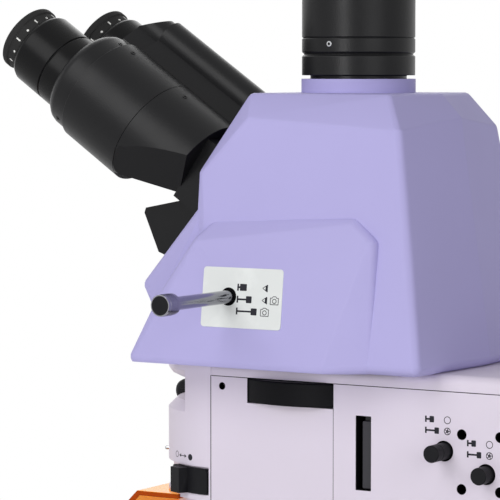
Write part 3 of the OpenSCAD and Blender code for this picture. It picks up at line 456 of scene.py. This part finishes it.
# Skins of the CAD nodes: bevel width in mm, finish and material slot
skins = {
    "base_housing": (1.2, armEnamel, "arm_paint"), "base_plate": (0.6, blackPart, "part_black"),
    "rubber_feet": (1.0, rubber, "feet_rubber"), "power_inlet": (0.4, knobPlastic, "socket_black"),
    "power_switch": (0.5, knobPlastic, "socket_black"), "brightness_knob": (0.6, knobPlastic, "knob_black"),
    "field_lens_ring": (0.6, knobPlastic, "knob_black"), "stand_column": (1.6, armEnamel, "arm_paint"),
    "coarse_focus_knobs": (0.8, knobPlastic, "knob_black"), "fine_focus_knobs": (0.6, knobPlastic, "knob_black"),
    "tension_collar": (0.5, steel, "steel"), "stage_carrier": (0.8, blackPart, "part_black"),
    "stage_plate": (0.9, blackPart, "part_black"), "specimen_holder": (0.4, blackPart, "part_black"),
    "specimen_clip": (0.3, steel, "steel"), "stage_y_knob": (0.6, knobPlastic, "knob_black"),
    "stage_x_knob": (0.6, knobPlastic, "knob_black"), "condenser_carrier": (0.6, blackPart, "part_black"),
    "condenser_knob": (0.6, knobPlastic, "knob_black"), "condenser_body": (0.5, blackPart, "part_black"),
    "aperture_lever": (0.4, steel, "steel"), "nosepiece_mount": (0.5, steel, "steel"),
    "nosepiece_turret": (0.5, blackPart, "part_black"), "objective_scan": (0.4, satinChrome, "objective_metal"),
    "objective_low": (0.4, satinChrome, "objective_metal"),
    "objective_high": (0.4, satinChrome, "objective_metal"),
    "objective_oil": (0.4, satinChrome, "objective_metal"), "nose_housing": (0.7, armEnamel, "arm_paint"),
    "turret_housing": (0.7, armEnamel, "arm_paint"), "illuminator_housing": (0.7, armEnamel, "arm_paint"),
    "top_cover": (0.6, armEnamel, "arm_paint"), "head_lock_knob": (1.0, knobPlastic, "knob_black"),
    "shutter_slider": (0.8, knobPlastic, "part_black"), "filter_turret": (1.8, blackPart, "part_black"),
    "filter_cubes": (0.6, blackPart, "part_black"), "filter_slider": (0.5, sliderGrey, "part_black"),
    "iris_diaphragms": (0.4, blackPart, "part_black"), "uv_shield": (0.5, amber, "amber"),
    "lamp_house": (0.6, armEnamel, "arm_paint"), "lamp_emitter": (0.4, steel, "emitter"),
    "head_shell_right": (1.6, headEnamel, "head_paint"), "head_shell_left": (1.6, headEnamel, "head_paint"),
    "binocular_neck": (1.0, tubeEnamel, "tube_black"), "ocular_spindle": (0.5, steel, "steel"),
    "ocular_housing_right": (0.5, tubeEnamel, "tube_black"),
    "ocular_housing_left": (0.5, tubeEnamel, "tube_black"),
    "front_cap_right": (0.5, tubeEnamel, "tube_black"), "front_cap_left": (0.5, tubeEnamel, "tube_black"),
    "eyepiece_right": (0.4, anodised, "eyepiece_black"), "eyepiece_left": (0.4, anodised, "eyepiece_black"),
    "dioptre_ring_right": (0.5, rubber, "ring_rubber"), "dioptre_ring_left": (0.5, rubber, "ring_rubber"),
    "camera_tube": (0.4, tubeEnamel, "tube_black"), "splitter_rod": (0.4, chrome, "chrome"),
}
# Faces with several openings break when their triangles are merged, so these nodes keep theirs
keptTriangles = ("lamp_house", "splitter_rod", "power_inlet")
for node, (width, finish, slotName) in skins.items():
    refine(node, width, finish, merge=node not in keptTriangles)
for node in ("field_lens", "condenser_lens", "collector_lens", "splitter_prism"):
    keep(node, glass)

# Painted shade on the shield's cut edges: its two ends, and the faces as narrow as the sheet is thick, take a
# darker amber
shield = {"node": "uv_shieldSkin", "narrow": 4.5, "sideways": 0.7}


def paintShieldEdgeShade():
    mesh = bpy.data.objects[shield["node"]].data
    mesh.materials.append(amberShadedEdge)
    for polygon in mesh.polygons:
        corners = [mesh.vertices[i].co for i in polygon.vertices]
        shortest = min((a - b).length for a, b in zip(corners, corners[1:] + corners[:1]))
        narrow = len(corners) == 4 and shortest < mm(shield["narrow"])
        if narrow or abs(polygon.normal.x) > shield["sideways"]:
            polygon.material_index = 1


paintShieldEdgeShade()
print("skins made")


# Small shapes that several details share
def stroke(points, width):
    strips = []
    for (u0, v0), (u1, v1) in zip(points, points[1:]):
        length = math.hypot(u1 - u0, v1 - v0)
        du, dv = (v1 - v0) / length * width / 2, (u0 - u1) / length * width / 2
        strips.append([(u0 - du, v0 - dv), (u1 - du, v1 - dv), (u1 + du, v1 + dv), (u0 + du, v0 + dv)])
    return strips


# The rod symbol: a stop bar, a stem and a knob, on the line v
rodShape = {"bar": 0.5, "stem": 0.5, "lap": 0.1, "bite": 0.3, "corner": 0.4}


def rodSymbol(bar, knob, v, tall=3.5, wide=2.8):
    halfBar, halfStem = rodShape["bar"], rodShape["stem"]
    left, right = knob - wide / 2, knob + wide / 2
    return [rectangle(bar - halfBar, v - tall / 2, bar + halfBar, v + tall / 2),
            rectangle(bar + halfBar - rodShape["lap"], v - halfStem, left + rodShape["bite"], v + halfStem),
            rectangle(left, v - tall / 2, right, v + tall / 2, rodShape["corner"], 2)]


# The closed iris: a ring with five blades, each a chord to a smaller radius
irisShape = {"line": 0.42, "blades": 5, "outer": 0.9, "inner": 0.45, "twist": 150}


def irisSymbol(u, v, radius):
    lines = ringStrips(u, v, radius, radius - irisShape["line"])
    outer, inner = irisShape["outer"] * radius, irisShape["inner"] * radius
    for i in range(irisShape["blades"]):
        a, b = (math.radians(72 * i + twist) for twist in (0, irisShape["twist"]))
        lines += stroke([(u + outer * math.cos(a), v + outer * math.sin(a)),
                         (u + inner * math.cos(b), v + inner * math.sin(b))], irisShape["line"])
    return lines


# A generic eye seen from its side, and a generic camera: outlines round their own starting points
eyeShape = {"lids": ((0, 0), (3.2, 2.0), (3.2, -2.0), (0, 0)), "line": 0.35,
            "pupil": ((1.9, -1.1), (3.3, -2.1), (3.3, 2.1), (1.9, 1.1))}
cameraShape = {"line": 0.38, "lens": (-0.2, 1.4, 1.0),
               "body": ((-2.6, -2.1), (2.6, -2.1), (2.6, 1.6), (1.4, 1.6), (0.9, 2.4), (-0.9, 2.4), (-1.4, 1.6),
                        (-2.6, 1.6), (-2.6, -2.1))}


def eyeSymbol(u, v):
    lids = stroke([(u + du, v + dv) for du, dv in eyeShape["lids"]], eyeShape["line"])
    return lids + [[(u + du, v + dv) for du, dv in eyeShape["pupil"]]]


def cameraSymbol(u, v):
    drop, outer, inner = cameraShape["lens"]
    body = stroke([(u + du, v + dv) for du, dv in cameraShape["body"]], cameraShape["line"])
    return body + ringStrips(u, v + drop, outer, inner)


# A near-black lining that paints the shade inside a round recess, with room for a stem in its floor
shadeLinings = {"thick": 0.13, "gap": 0.02, "mouth": 0.25}


def shadeLining(name, mouth, outward, radius, depth, stem=0.0):
    outer, inner = radius - shadeLinings["gap"], radius - shadeLinings["gap"] - shadeLinings["thick"]
    back, floor, rim = shadeLinings["gap"] - depth, shadeLinings["gap"] + shadeLinings["thick"] - depth, -shadeLinings["mouth"]
    points = [(stem, floor), (inner, floor), (inner, rim), (outer, rim), (outer, back), (stem, back)]
    lathe(name, points, mouth, outward, shadeAndSeamBlack, "stand", 40, closed=bool(stem))


# A screw with a round socket, standing a little out of the surface
screws = {"sunk": 0.3, "chamfer": (0.15, 0.12), "socket": (0.55, 0.5, 0.4)}


def screw(name, seat, outward, radius, finish, body, rise=0.25):
    inset, drop = screws["chamfer"]
    lip, floor, depth = (part * radius for part in screws["socket"])
    points = [(0, -screws["sunk"]), (radius, -screws["sunk"]), (radius, rise - drop), (radius - inset, rise),
              (lip, rise), (floor, rise - depth), (0, rise - depth)]
    lathe(name, points, seat, outward, finish, body, 24, closed=False)


# Fine ribs round a turned knob, from one distance to another along its axis. Each rib narrows upwards
ribShape = {"sunk": 0.3, "slope": 0.4, "foot": 0.5, "crest": 0.28}


def ribs(name, origin, axis, radius, start, end, count, rise, width, finish, body, slotName):
    base = axisFrame(origin, axis)
    work = bmesh.new()
    for i in range(count):
        place = base @ Matrix.Rotation(2 * math.pi * i / count, 4, "Z")
        corners = []
        for reach, inset in ((start, ribShape["slope"]), (end, -ribShape["slope"])):
            for out, half, shift in ((-ribShape["sunk"], ribShape["foot"], 0), (rise, ribShape["crest"], inset)):
                for sign in (-1, 1):
                    corners.append(work.verts.new(place @ Vector((mm(radius + out), mm(sign * half * width),
                                                                  mm(reach + shift)))))
        a, b, c, d, e, f, g, h = corners
        for face in ((a, b, d, c), (e, g, h, f), (c, d, h, g), (a, c, g, e), (b, f, h, d), (a, e, f, b)):
            work.faces.new(face)
    piece(name, fromBmesh(work, name), finish, body, 30)


# A frame that looks along x: to the user's right, or to the left with its u axis still running back
sideways = Matrix(((0, 0, 1), (1, 0, 0), (0, 1, 0))).to_4x4()
mirrored = Matrix(((0, 0, -1), (1, 0, 0), (0, 1, 0))).to_4x4()

# The label by the splitter rod: a plate on the bulge's side, its symbols and a near-black disc of painted shade
# for the rod's hole.
# "plane" is three points (y, z) of that side. The rods are (knob, line, knob's width)
label = {"y": 36.6, "z": 444.7, "plane": ((14, 431), (60, 431), (36.6, 459)), "half": (26.4, 17.1),
         "corner": 2.0, "soft": 0.12, "sunk": 0.5, "rise": 0.45, "lap": 0.1, "hole": (-8.9, 0.5, 5.2),
         "holeRise": 0.04, "printRise": 0.05, "bar": -2.8, "tall": 3.9,
         "rods": ((0.7, 6.1, 4.5), (4.7, -0.7, 3.7), (8.4, -7.4, 3.9)),
         "eyes": ((13.4, 6.1), (13.4, -0.7)), "cameras": ((21.5, -0.7), (15.5, -7.4))}


def makeLabel():
    outside = 200
    corners = [touch("head_shell_right", at(outside, y, z), (-1, 0, 0)) for y, z in label["plane"]]
    normal = (corners[1] - corners[0]).cross(corners[2] - corners[0]).normalized()
    start = at(outside, label["y"], label["z"])
    centre = start + Vector((-1, 0, 0)) * ((start - corners[0]).dot(normal) / normal.x)
    place = facing(centre, normal, (0, 0, 1))
    halfU, halfV = label["half"]
    rise, lap = label["rise"], label["lap"]
    plates("labelPlate", [rectangle(-halfU, -halfV, halfU, halfV, label["corner"])], place, -label["sunk"], rise,
           labelPlastic, "stand", "head_paint", label["soft"])
    u, v, radius = label["hole"]
    # A near-black disc paints the shade of the rod's hole
    plates("rodHole", [disc(u, v, radius, 40)], place, rise - lap, rise + label["holeRise"], shadeAndSeamBlack, "stand",
           "part_black")
    marks = []
    for knob, row, wide in label["rods"]:
        marks += rodSymbol(label["bar"], knob, row, label["tall"], wide)
    for spot in label["eyes"]:
        marks += eyeSymbol(*spot)
    for spot in label["cameras"]:
        marks += cameraSymbol(*spot)
    plates("labelSymbols", marks, place, rise - lap, rise + label["printRise"], darkPrint, "stand", "part_black")


makeLabel()

# The splitter rod's knob: an end cap set in a bright ring, and a fine knurl
splitter = {"y": 27.7, "z": 445.2, "end": 154.0, "radius": 5.98, "sunk": 0.3, "knurl": (-10.2, -2.2), "ribs": 56,
            "ribRise": 0.16, "ribWidth": 0.5, "cap": ((0, -1), (5.35, -1), (5.35, -0.2), (5.15, 0), (0, 0))}


def makeSplitterKnob():
    skin = bpy.data.objects["splitter_rodSkin"]
    edge = at(splitter["end"] - 0.05, 0, 0).x
    for vertex in skin.data.vertices:
        if vertex.co.x > edge:
            vertex.co.x -= mm(splitter["sunk"])
    start = at(splitter["end"], splitter["y"], splitter["z"])
    lathe("splitterCap", splitter["cap"], start, (1, 0, 0), knobPlastic, "splitter_rod", 48,
          closed=False)
    ribs("splitterKnurl", start, (1, 0, 0), splitter["radius"], *splitter["knurl"], splitter["ribs"],
         splitter["ribRise"], splitter["ribWidth"], chrome, "splitter_rod", "chrome")


makeSplitterKnob()

# Illuminator: stop symbols, knobs, and near-black linings of holes and slot as painted shade. Rods and holes are
# (y, z, ...) on its side.
# Each row of symbols is (stop bar, knobs, rings, lines)
stops = {"side": 55.0, "knob": 4.8, "stem": 3, "inner": 20.5, "shoulder": -5, "line": 7.1, "recess": 5.8,
         "recessDepth": 8, "recessStem": 3.2, "field": (150.5, 362.8, 15.7), "aperture": (176.5, 351.7, 9.8),
         "symbols": ((139.2, (142.9, 146.0), 152.6, (380.1, 373.9)),
                     (165.3, (168.9, 172.2), 178.6, (368.3, 362.1))), "ring": (2.15, 1.75), "iris": 2.1,
         "holes": ((161.5, 342.3), (161.5, 372.7), (185.0, 342.3), (185.0, 372.7)), "hole": (3.0, 11.5),
         "pin": (5.7, 390.3), "pinHole": (2.2, 5.8)}
slot = {"low": (94.5, 336.6), "high": (104.5, 379.0), "gap": 0.02, "wall": 0.25, "sill": 0.2,
        "depth": (-40, -0.35), "shut": (94.6, 336.7, 97.3, 378.9), "shutDepth": (-28, -27),
        "end": (97.9, 337.5, 103.6, 375.9, 0.8, 3), "endDepth": (-6.3, -1.8), "endSoft": 0.4}


def makeStopKnob(name):
    y, z, out = stops[name]
    mouth = at(stops["side"], y, z)
    # A near-black lining paints the shade in the knob's recess
    shadeLining(name + "Recess", mouth, (1, 0, 0), stops["recess"], stops["recessDepth"], stops["recessStem"])
    knob, stem, shoulder, body = stops["knob"], stops["stem"], stops["shoulder"], name + "_stop_rod"
    inner, line, groove, chamfer = stops["inner"] - stops["side"], out - stops["line"], 0.25, 0.5
    points = [(stem, inner), (stem, shoulder), (knob, shoulder), (knob, line), (knob - groove, line + 0.2),
              (knob - groove, line + 0.5), (knob, line + 0.7), (knob, out - chamfer), (knob - chamfer, out),
              (0, out), (0, inner)]
    skin = lathe(name + "Knob", points, mouth, (1, 0, 0), knobPlastic, body, 64, closed=False)
    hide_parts(body)
    ring = [(knob - 0.3, 0), (knob - 0.02, 0.02), (knob - 0.02, 0.25), (knob - 0.3, 0.25)]
    lathe(name + "Line", ring, at(stops["side"] + line + 0.2, y, z), (1, 0, 0), rubber, body, 64)


def makeStops():
    place = Matrix.Translation(at(stops["side"], 0, 0)) @ sideways
    marks = []
    for bar, knobs, circle, rows in stops["symbols"]:
        for knob, row in zip(knobs, rows):
            marks += rodSymbol(bar, knob, row)
        marks += ringStrips(circle, rows[0], *stops["ring"])
        marks += irisSymbol(circle, rows[1], stops["iris"])
    plates("stopSymbols", marks, place, -0.1, 0.06, darkPrint, "stand", "part_black")
    for name in ("field", "aperture"):
        makeStopKnob(name)
    # Screw and pin holes get near-black linings as painted shade
    for number, (y, z) in enumerate(stops["holes"]):
        shadeLining("screwHole%d" % number, at(stops["side"], y, z), (1, 0, 0), *stops["hole"])
    shadeLining("pinHole", at(stops["side"], *stops["pin"]), (1, 0, 0), *stops["pinHole"])


# Near-black sheets on the slot's walls, sill and lintel as painted shade, a near-black plate that shuts out the
# light behind and paints the shade deep inside, and the slider's two ends
def makeSlot():
    (u0, v0), (u1, v1), gap, wall, sill = slot["low"], slot["high"], slot["gap"], slot["wall"], slot["sill"]
    walls = [rectangle(u0 + gap, v0 + gap, u0 + wall, v1 - gap),
             rectangle(u1 - wall, v0 + gap, u1 - gap, v1 - gap),
             rectangle(u0 + sill, v0 + gap, u1 - sill, v0 + sill),
             rectangle(u0 + sill, v1 - sill, u1 - sill, v1 - gap)]
    for side, spot in (("Right", Matrix.Translation(at(stops["side"], 0, 0)) @ sideways),
                       ("Left", Matrix.Translation(at(-stops["side"], 0, 0)) @ mirrored)):
        plates("slotLining" + side, walls, spot, *slot["depth"], shadeAndSeamBlack, "stand", "part_black")
        plates("slotShut" + side, [rectangle(*slot["shut"])], spot, *slot["shutDepth"], shadeAndSeamBlack, "stand",
               "part_black")
        plates("sliderEnd" + side, [rectangle(*slot["end"])], spot, *slot["endDepth"], sliderGrey,
               "filter_slider", "part_black", slot["endSoft"])


makeStops()
makeSlot()

# Marks of the shutter and a small pin on the round nose: each place is (angle, height)
noseMarks = {"axis": -1.4, "outside": 100, "open": (-32.4, 347.0), "shut": (-17.5, 346.6),
             "arrow": (-25.2, 346.8), "pin": (-66.5, 346.4), "dot": 1.9, "line": 0.3,
             "shaft": (-2.2, -0.2, 2.2, 0.2),
             "heads": (((-3.8, 0), (-2.0, -1.0), (-2.0, 1.0)), ((3.8, 0), (2.0, 1.0), (2.0, -1.0))),
             "pinShape": ((0, -0.5), (1.2, -0.5), (1.2, 2.3), (0.7, 3.0), (0, 3.0))}


def onNose(angle, z):
    turn, outside = math.radians(angle), noseMarks["outside"]
    outward = Vector((math.cos(turn), math.sin(turn), 0))
    spot = touch("nose_housing", at(outside * outward.x, noseMarks["axis"] + outside * outward.y, z), -outward)
    return facing(spot, outward, (0, 0, 1))


def makeNoseMarks():
    dot = noseMarks["dot"]
    plates("shutterOpen", ringStrips(0, 0, dot, dot - noseMarks["line"]), onNose(*noseMarks["open"]), -0.15, 0.06,
           darkPrint, "stand", "part_black")
    plates("shutterShut", [disc(0, 0, dot)], onNose(*noseMarks["shut"]), -0.15, 0.06, darkPrint, "stand",
           "part_black")
    spot = onNose(*noseMarks["pin"])
    lathe("nosePin", noseMarks["pinShape"], spot.translation, spot.col[2].to_3d(), steel, "stand", 24,
          closed=False)
    arrow = [rectangle(*noseMarks["shaft"]), *noseMarks["heads"]]
    plates("shutterArrow", arrow, onNose(*noseMarks["arrow"]), -0.2, 0.08, darkPrint, "stand", "part_black")


makeNoseMarks()

# Eyepiece end: screws (part, centre above the axis, angle, distance), rings of marks, and lenses.
# Distances run along the right eyepiece's axis
eyes = {"tilt": 34.4, "y": -135.1, "z": 587.3, "half": 39.0, "front": 11.0, "ring": 19.9, "cap": 31.5,
        "barrel": 33.5, "screw": 1.5,
        "screws": {"cap": ("cap", 4.0, -48.2, -47.8), "capTop": ("cap", 4.0, 86, -50.0),
                   "barrel": ("barrel", 4.5, 79.8, -62.3), "neck": ("barrel", 4.5, 77.9, -107.5)},
        "marks": 16, "firstMark": 8, "long": 3.4, "short": 2.6, "line": 0.45, "lineAt": 3.0,
        "dot": (0, 1.8, 0.75, 16),
        "lens": ((0, -3.4), (4, -3.5), (8, -3.9), (11.8, -4.7), (11.8, -5.9), (0, -5.9)),
        "stop": ((11.9, -5.95), (11.9, -3.0), (11.2, -3.0), (11.2, -4.0))}
forward = Vector((0, -math.cos(math.radians(eyes["tilt"])), math.sin(math.radians(eyes["tilt"]))))
above = Vector((0, forward.z, -forward.y))


def eyePoint(x, up, reach):
    return at(x, eyes["y"] + up * above.y + reach * forward.y, eyes["z"] + up * above.z + reach * forward.z)


def makeEyeScrews(side, sign):
    for name, (part, centre, angle, reach) in eyes["screws"].items():
        turn, radius = math.radians(angle), eyes[part]
        seat = eyePoint(sign * (eyes["half"] + radius * math.cos(turn)), centre + radius * math.sin(turn), reach)
        outward = Vector((sign * math.cos(turn), 0, 0)) + above * math.sin(turn)
        body = "stand" if name == "neck" else "ocular_" + side
        screw(side + name + "Screw", seat, outward, eyes["screw"], anodised, body)


def makeEyeMarks(side, sign):
    base = axisFrame(eyePoint(sign * eyes["half"], 0, 0), forward)
    for i in range(eyes["marks"]):
        turn = math.radians(360 / eyes["marks"] * i + eyes["firstMark"])
        place = base @ Matrix.Rotation(turn, 4, "Z") @ Matrix.Translation((mm(eyes["ring"]), 0, 0)) @ sideways
        half, middle = (eyes["long"] if i % 4 == 0 else eyes["short"]) / 2, eyes["lineAt"]
        line = rectangle(-eyes["line"], middle - half, eyes["line"], middle + half)
        plates("%sTick%d" % (side, i), [disc(*eyes["dot"]) if i % 2 else line], place, -0.12, 0.05, whitePrint,
               "dioptre_" + side, "ring_rubber")


def makeEyes():
    for side, sign in (("right", 1), ("left", -1)):
        makeEyeScrews(side, sign)
        makeEyeMarks(side, sign)
        front, body = eyePoint(sign * eyes["half"], 0, eyes["front"]), "ocular_" + side
        lathe(side + "EyeLens", eyes["lens"], front, forward, glass, body, 48, closed=False)
        lathe(side + "EyeStop", eyes["stop"], front, forward, shadeAndSeamBlack, body, 48)


makeEyes()

# Ribs of the knobs: where, axis, radius, start, end, count, rise, width and body
knurls = {
    "coarseRight": ((52.6, 170, 95), (1, 0, 0), 30, 2, 19, 80, 0.3, 1.1, "coarse_focus"),
    "coarseLeft": ((-66.3, 170, 95), (1, 0, 0), 30, 2, 19, 80, 0.3, 1.1, "coarse_focus"),
    "fineRight": ((73.9, 170, 95), (1, 0, 0), 14, 2, 15, 48, 0.25, 0.8, "fine_focus"),
    "fineLeft": ((-83.6, 170, 95), (1, 0, 0), 14, 2, 15, 48, 0.25, 0.8, "fine_focus"),
    "stageY": ((86, 45, 107.3), (0, 0, 1), 13, 2, 18, 48, 0.25, 0.8, "stage_y_knob"),
    "stageX": ((86, 45, 86.3), (0, 0, 1), 11, 2, 18.6, 40, 0.25, 0.8, "stage_x_knob"),
    "brightness": ((92.3, -50, 30), (1, 0, 0), 11, 2, 11, 40, 0.25, 0.8, "brightness_knob"),
    "headLock": ((0, -46, 379), (0, -1, 0), 6.6, 1, 9, 28, 0.2, 0.7, "head_lock_knob"),
}
boxKnurls = {
    "condenser": ("condenser_knob", (1, 0, 0), 13, 2, 13.5, 48, 0.25, 0.8),
    "fieldRing": ("field_lens_ring", (0, 0, 1), 28, 1, 4.6, 72, 0.25, 0.9),
}
tubeScrews = {"tubeScrew": (32.9, 64.1, 588, 1), "tubeScrewLeft": (-32.9, 65, 588, -1)}


def makeKnurls():
    for name, (x, y, z, sign) in tubeScrews.items():
        screw(name, at(x, y, z), (sign, 0, 0), 1.6, steel, "stand", 0.2)
    for name, (place, *shape, body) in knurls.items():
        ribs(name + "Ribs", at(*place), *shape, knobPlastic, body, "knob_black")
    for name, (body, axis, *shape) in boxKnurls.items():
        low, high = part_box(body)
        foot = Vector([low[k] if axis[k] else (low[k] + high[k]) / 2 for k in range(3)])
        ribs(name + "Ribs", foot, axis, *shape, knobPlastic, body, "knob_black")


makeKnurls()

# Objectives: colour band and knurled collar, on axes that meet above the nosepiece.
# Each part is (station, length, radius, colour)
objectives = {"apex": 369.7875, "axisY": 21.5, "tilt": 14.5, "reach": 139.7875, "stations": 5, "bandAt": 0.45,
              "knurl": (15, 1.5, 9.5, 64, 0.2, 0.7), "parts": {
                  "objective_low": (0, 48, 13.5, yellowPrint), "objective_high": (1, 59.1, 13.5, bluePrint),
                  "objective_oil": (2, 59.5, 13.5, whitePrint), "objective_scan": (4, 42, 13.5, redPrint)}}


def makeObjectives():
    tilt = math.radians(objectives["tilt"])
    apex = at(0, objectives["axisY"], objectives["apex"])
    for name, (station, length, radius, colour) in objectives["parts"].items():
        step = 2 * math.pi * station / objectives["stations"]
        turn = Matrix.Rotation(tilt, 3, "X") @ Matrix.Rotation(step, 3, "Z") @ Matrix.Rotation(-tilt, 3, "X")
        down = turn @ Vector((0, 0, -1))
        shoulder = apex + down * mm(objectives["reach"])
        start = length * objectives["bandAt"]
        band = [(radius - 0.1, start), (radius + 0.12, start + 0.1), (radius + 0.12, start + 1.7),
                (radius - 0.1, start + 1.8)]
        lathe(name + "Band", band, shoulder, down, colour, "nosepiece", 48)
        ribs(name + "Knurl", shoulder, down, *objectives["knurl"], satinChrome, "nosepiece", "objective_metal")


makeObjectives()

# Seam lines of the illuminator's covers, the hinge cap of the eyepieces, the holder's scale and the
# lamp house's screws. Ticks of the cap run from one radius to another, every third from further in
fittings = {"seams": ((-2.25, 322.5, -1.75, 396.1), (79.85, 322.5, 80.15, 396), (-1.6, 395.8, 227, 396.2)),
            "hingeAt": -38.0,
            "hinge": ((0, -0.2), (16.6, -0.2), (16.6, 0.3), (16.2, 0.7), (5, 0.8), (4.6, 0.5), (0, 0.5)),
            "ticks": 14, "fromAngle": 35, "overAngle": 110, "tick": (12.4, 13.4, 15.4, 0.35),
            "scale": (0, 53.5, 174.3), "scaleHalf": 30, "scaleLine": 0.08, "tens": 2.4, "fives": 1.8, "ones": 1.2,
            "lampScrews": ((-30, 316, 340), (30, 316, 340), (-30, 316, 380), (30, 316, 380)), "lampScrew": 3.0}


def makeSeams():
    turned = Matrix.Rotation(math.pi, 4, "Z") @ sideways
    for name, x, flip, turn in (("right", stops["side"], 1, sideways), ("left", -stops["side"], -1, turned)):
        lines = [[(flip * u, v) for u, v in rectangle(*seam)][::flip] for seam in fittings["seams"]]
        plates(name + "Seams", lines, Matrix.Translation(at(x, 0, 0)) @ turn, -0.4, 0.03, shadeAndSeamBlack, "stand",
               "part_black")


def makeHingeCap():
    hinge = eyePoint(0, 0, fittings["hingeAt"])
    lathe("hingeCap", fittings["hinge"], hinge, forward, tubeEnamel, "stand", 64, closed=False)
    long, short, outer, line = fittings["tick"]
    ticks = []
    for i in range(fittings["ticks"]):
        turn = math.radians(fittings["fromAngle"] + i * fittings["overAngle"] / (fittings["ticks"] - 1))
        inner = short if i % 3 else long
        ticks += stroke([(inner * math.cos(turn), inner * math.sin(turn)),
                         (outer * math.cos(turn), outer * math.sin(turn))], line)
    plates("hingeTicks", ticks, facing(hinge, forward, above), 0.55, 0.82, whitePrint, "stand", "tube_black")


def makeHolderScale():
    half, line, ticks = fittings["scaleHalf"], fittings["scaleLine"], []
    for i in range(2 * half + 1):
        tall = fittings["ones"] if i % 5 else fittings["fives"] if i % 10 else fittings["tens"]
        ticks.append(rectangle(i - half - line, 0, i - half + line, tall))
    plates("holderScale", ticks, Matrix.Translation(at(*fittings["scale"])), -0.1, 0.05, whitePrint,
           "specimen_holder", "part_black")


makeSeams()
makeHingeCap()
makeHolderScale()
for number, place in enumerate(fittings["lampScrews"]):
    screw("lampScrew%d" % number, at(*place), (0, 1, 0), fittings["lampScrew"], steel, "stand", -0.05)
print("details made")


# Stage set: a pale floor that fades into white, and even soft light. Lamps stand and aim at places in mm,
# while lamp sizes and the floor's radii are metres
studio = {"floor": (236, 236, 238), "floorRough": 0.8, "floorRadius": 1.75, "fadeFrom": 0.55, "fadeOver": 0.9,
          "floorCorners": 96, "light": 0.26, "seen": 0.74}
lights = {
    "key": {"place": (1450, -350, 1450), "aim": (30, 20, 400), "size": 1.2, "watts": 12},
    "glint": {"place": (1560, 60, 560), "aim": (30, 20, 460), "size": 0.3, "watts": 5.0},
    "rear": {"place": (1000, 1700, 1000), "aim": (20, 120, 420), "size": 1.4, "watts": 9},
    "fill": {"place": (-1500, -900, 1300), "aim": (0, 0, 400), "size": 1.6, "watts": 7},
}


def makeFloor():
    make = Finish("paleFloor")
    x, y = (make.node("SeparateXYZ", {"Vector": make.place}, output=k) for k in (0, 1))
    away = (((x * x + y * y) ** 0.5 - studio["fadeFrom"]) / studio["fadeOver"]).clamped()
    soft = make.surface(colour=shade(*studio["floor"]), rough=studio["floorRough"])
    white = make.node("Emission", {"Color": (1, 1, 1, 1), "Strength": 1.0})
    finish = make.done(make.node("MixShader", {0: away, 1: soft, 2: white}))
    mesh = bpy.data.meshes.new("floor")
    rim = [(u, v, 0) for u, v in disc(0, 0, studio["floorRadius"], studio["floorCorners"])]
    mesh.from_pydata(rim, [], [list(range(len(rim)))])
    mesh.materials.append(finish)
    floor = bpy.data.objects.new("floor", mesh)
    bpy.context.scene.collection.objects.link(floor)


# White for the camera and for mirrors and glass, dimmer as a light on the part
def makeWorld():
    world = bpy.data.worlds.new("studio")
    bpy.context.scene.world = world
    world.use_nodes = True
    tree = world.node_tree
    tree.nodes.clear()
    path = tree.nodes.new("ShaderNodeLightPath")
    camera, glossy, through = (Wire(tree, path.outputs["Is %s Ray" % kind])
                               for kind in ("Camera", "Glossy", "Transmission"))
    seen = (camera + glossy + through).clamped()
    strength = studio["light"] + seen * studio["seen"]
    background = tree.nodes.new("ShaderNodeBackground")
    background.inputs["Color"].default_value = (1, 1, 1, 1)
    tree.links.new(strength.socket, background.inputs["Strength"])
    output = tree.nodes.new("ShaderNodeOutputWorld")
    tree.links.new(background.outputs[0], output.inputs["Surface"])


def makeLights():
    for name, spec in lights.items():
        data = bpy.data.lights.new(name, "AREA")
        data.shape = "DISK"
        data.size = spec["size"]
        data.energy = spec["watts"]
        lamp = bpy.data.objects.new(name, data)
        place, aim = at(*spec["place"]), at(*spec["aim"])
        lamp.matrix_world = Matrix.Translation(place) @ (place - aim).to_track_quat("Z", "Y").to_matrix().to_4x4()
        bpy.context.scene.collection.objects.link(lamp)


makeFloor()
makeWorld()
makeLights()
print("stage set")
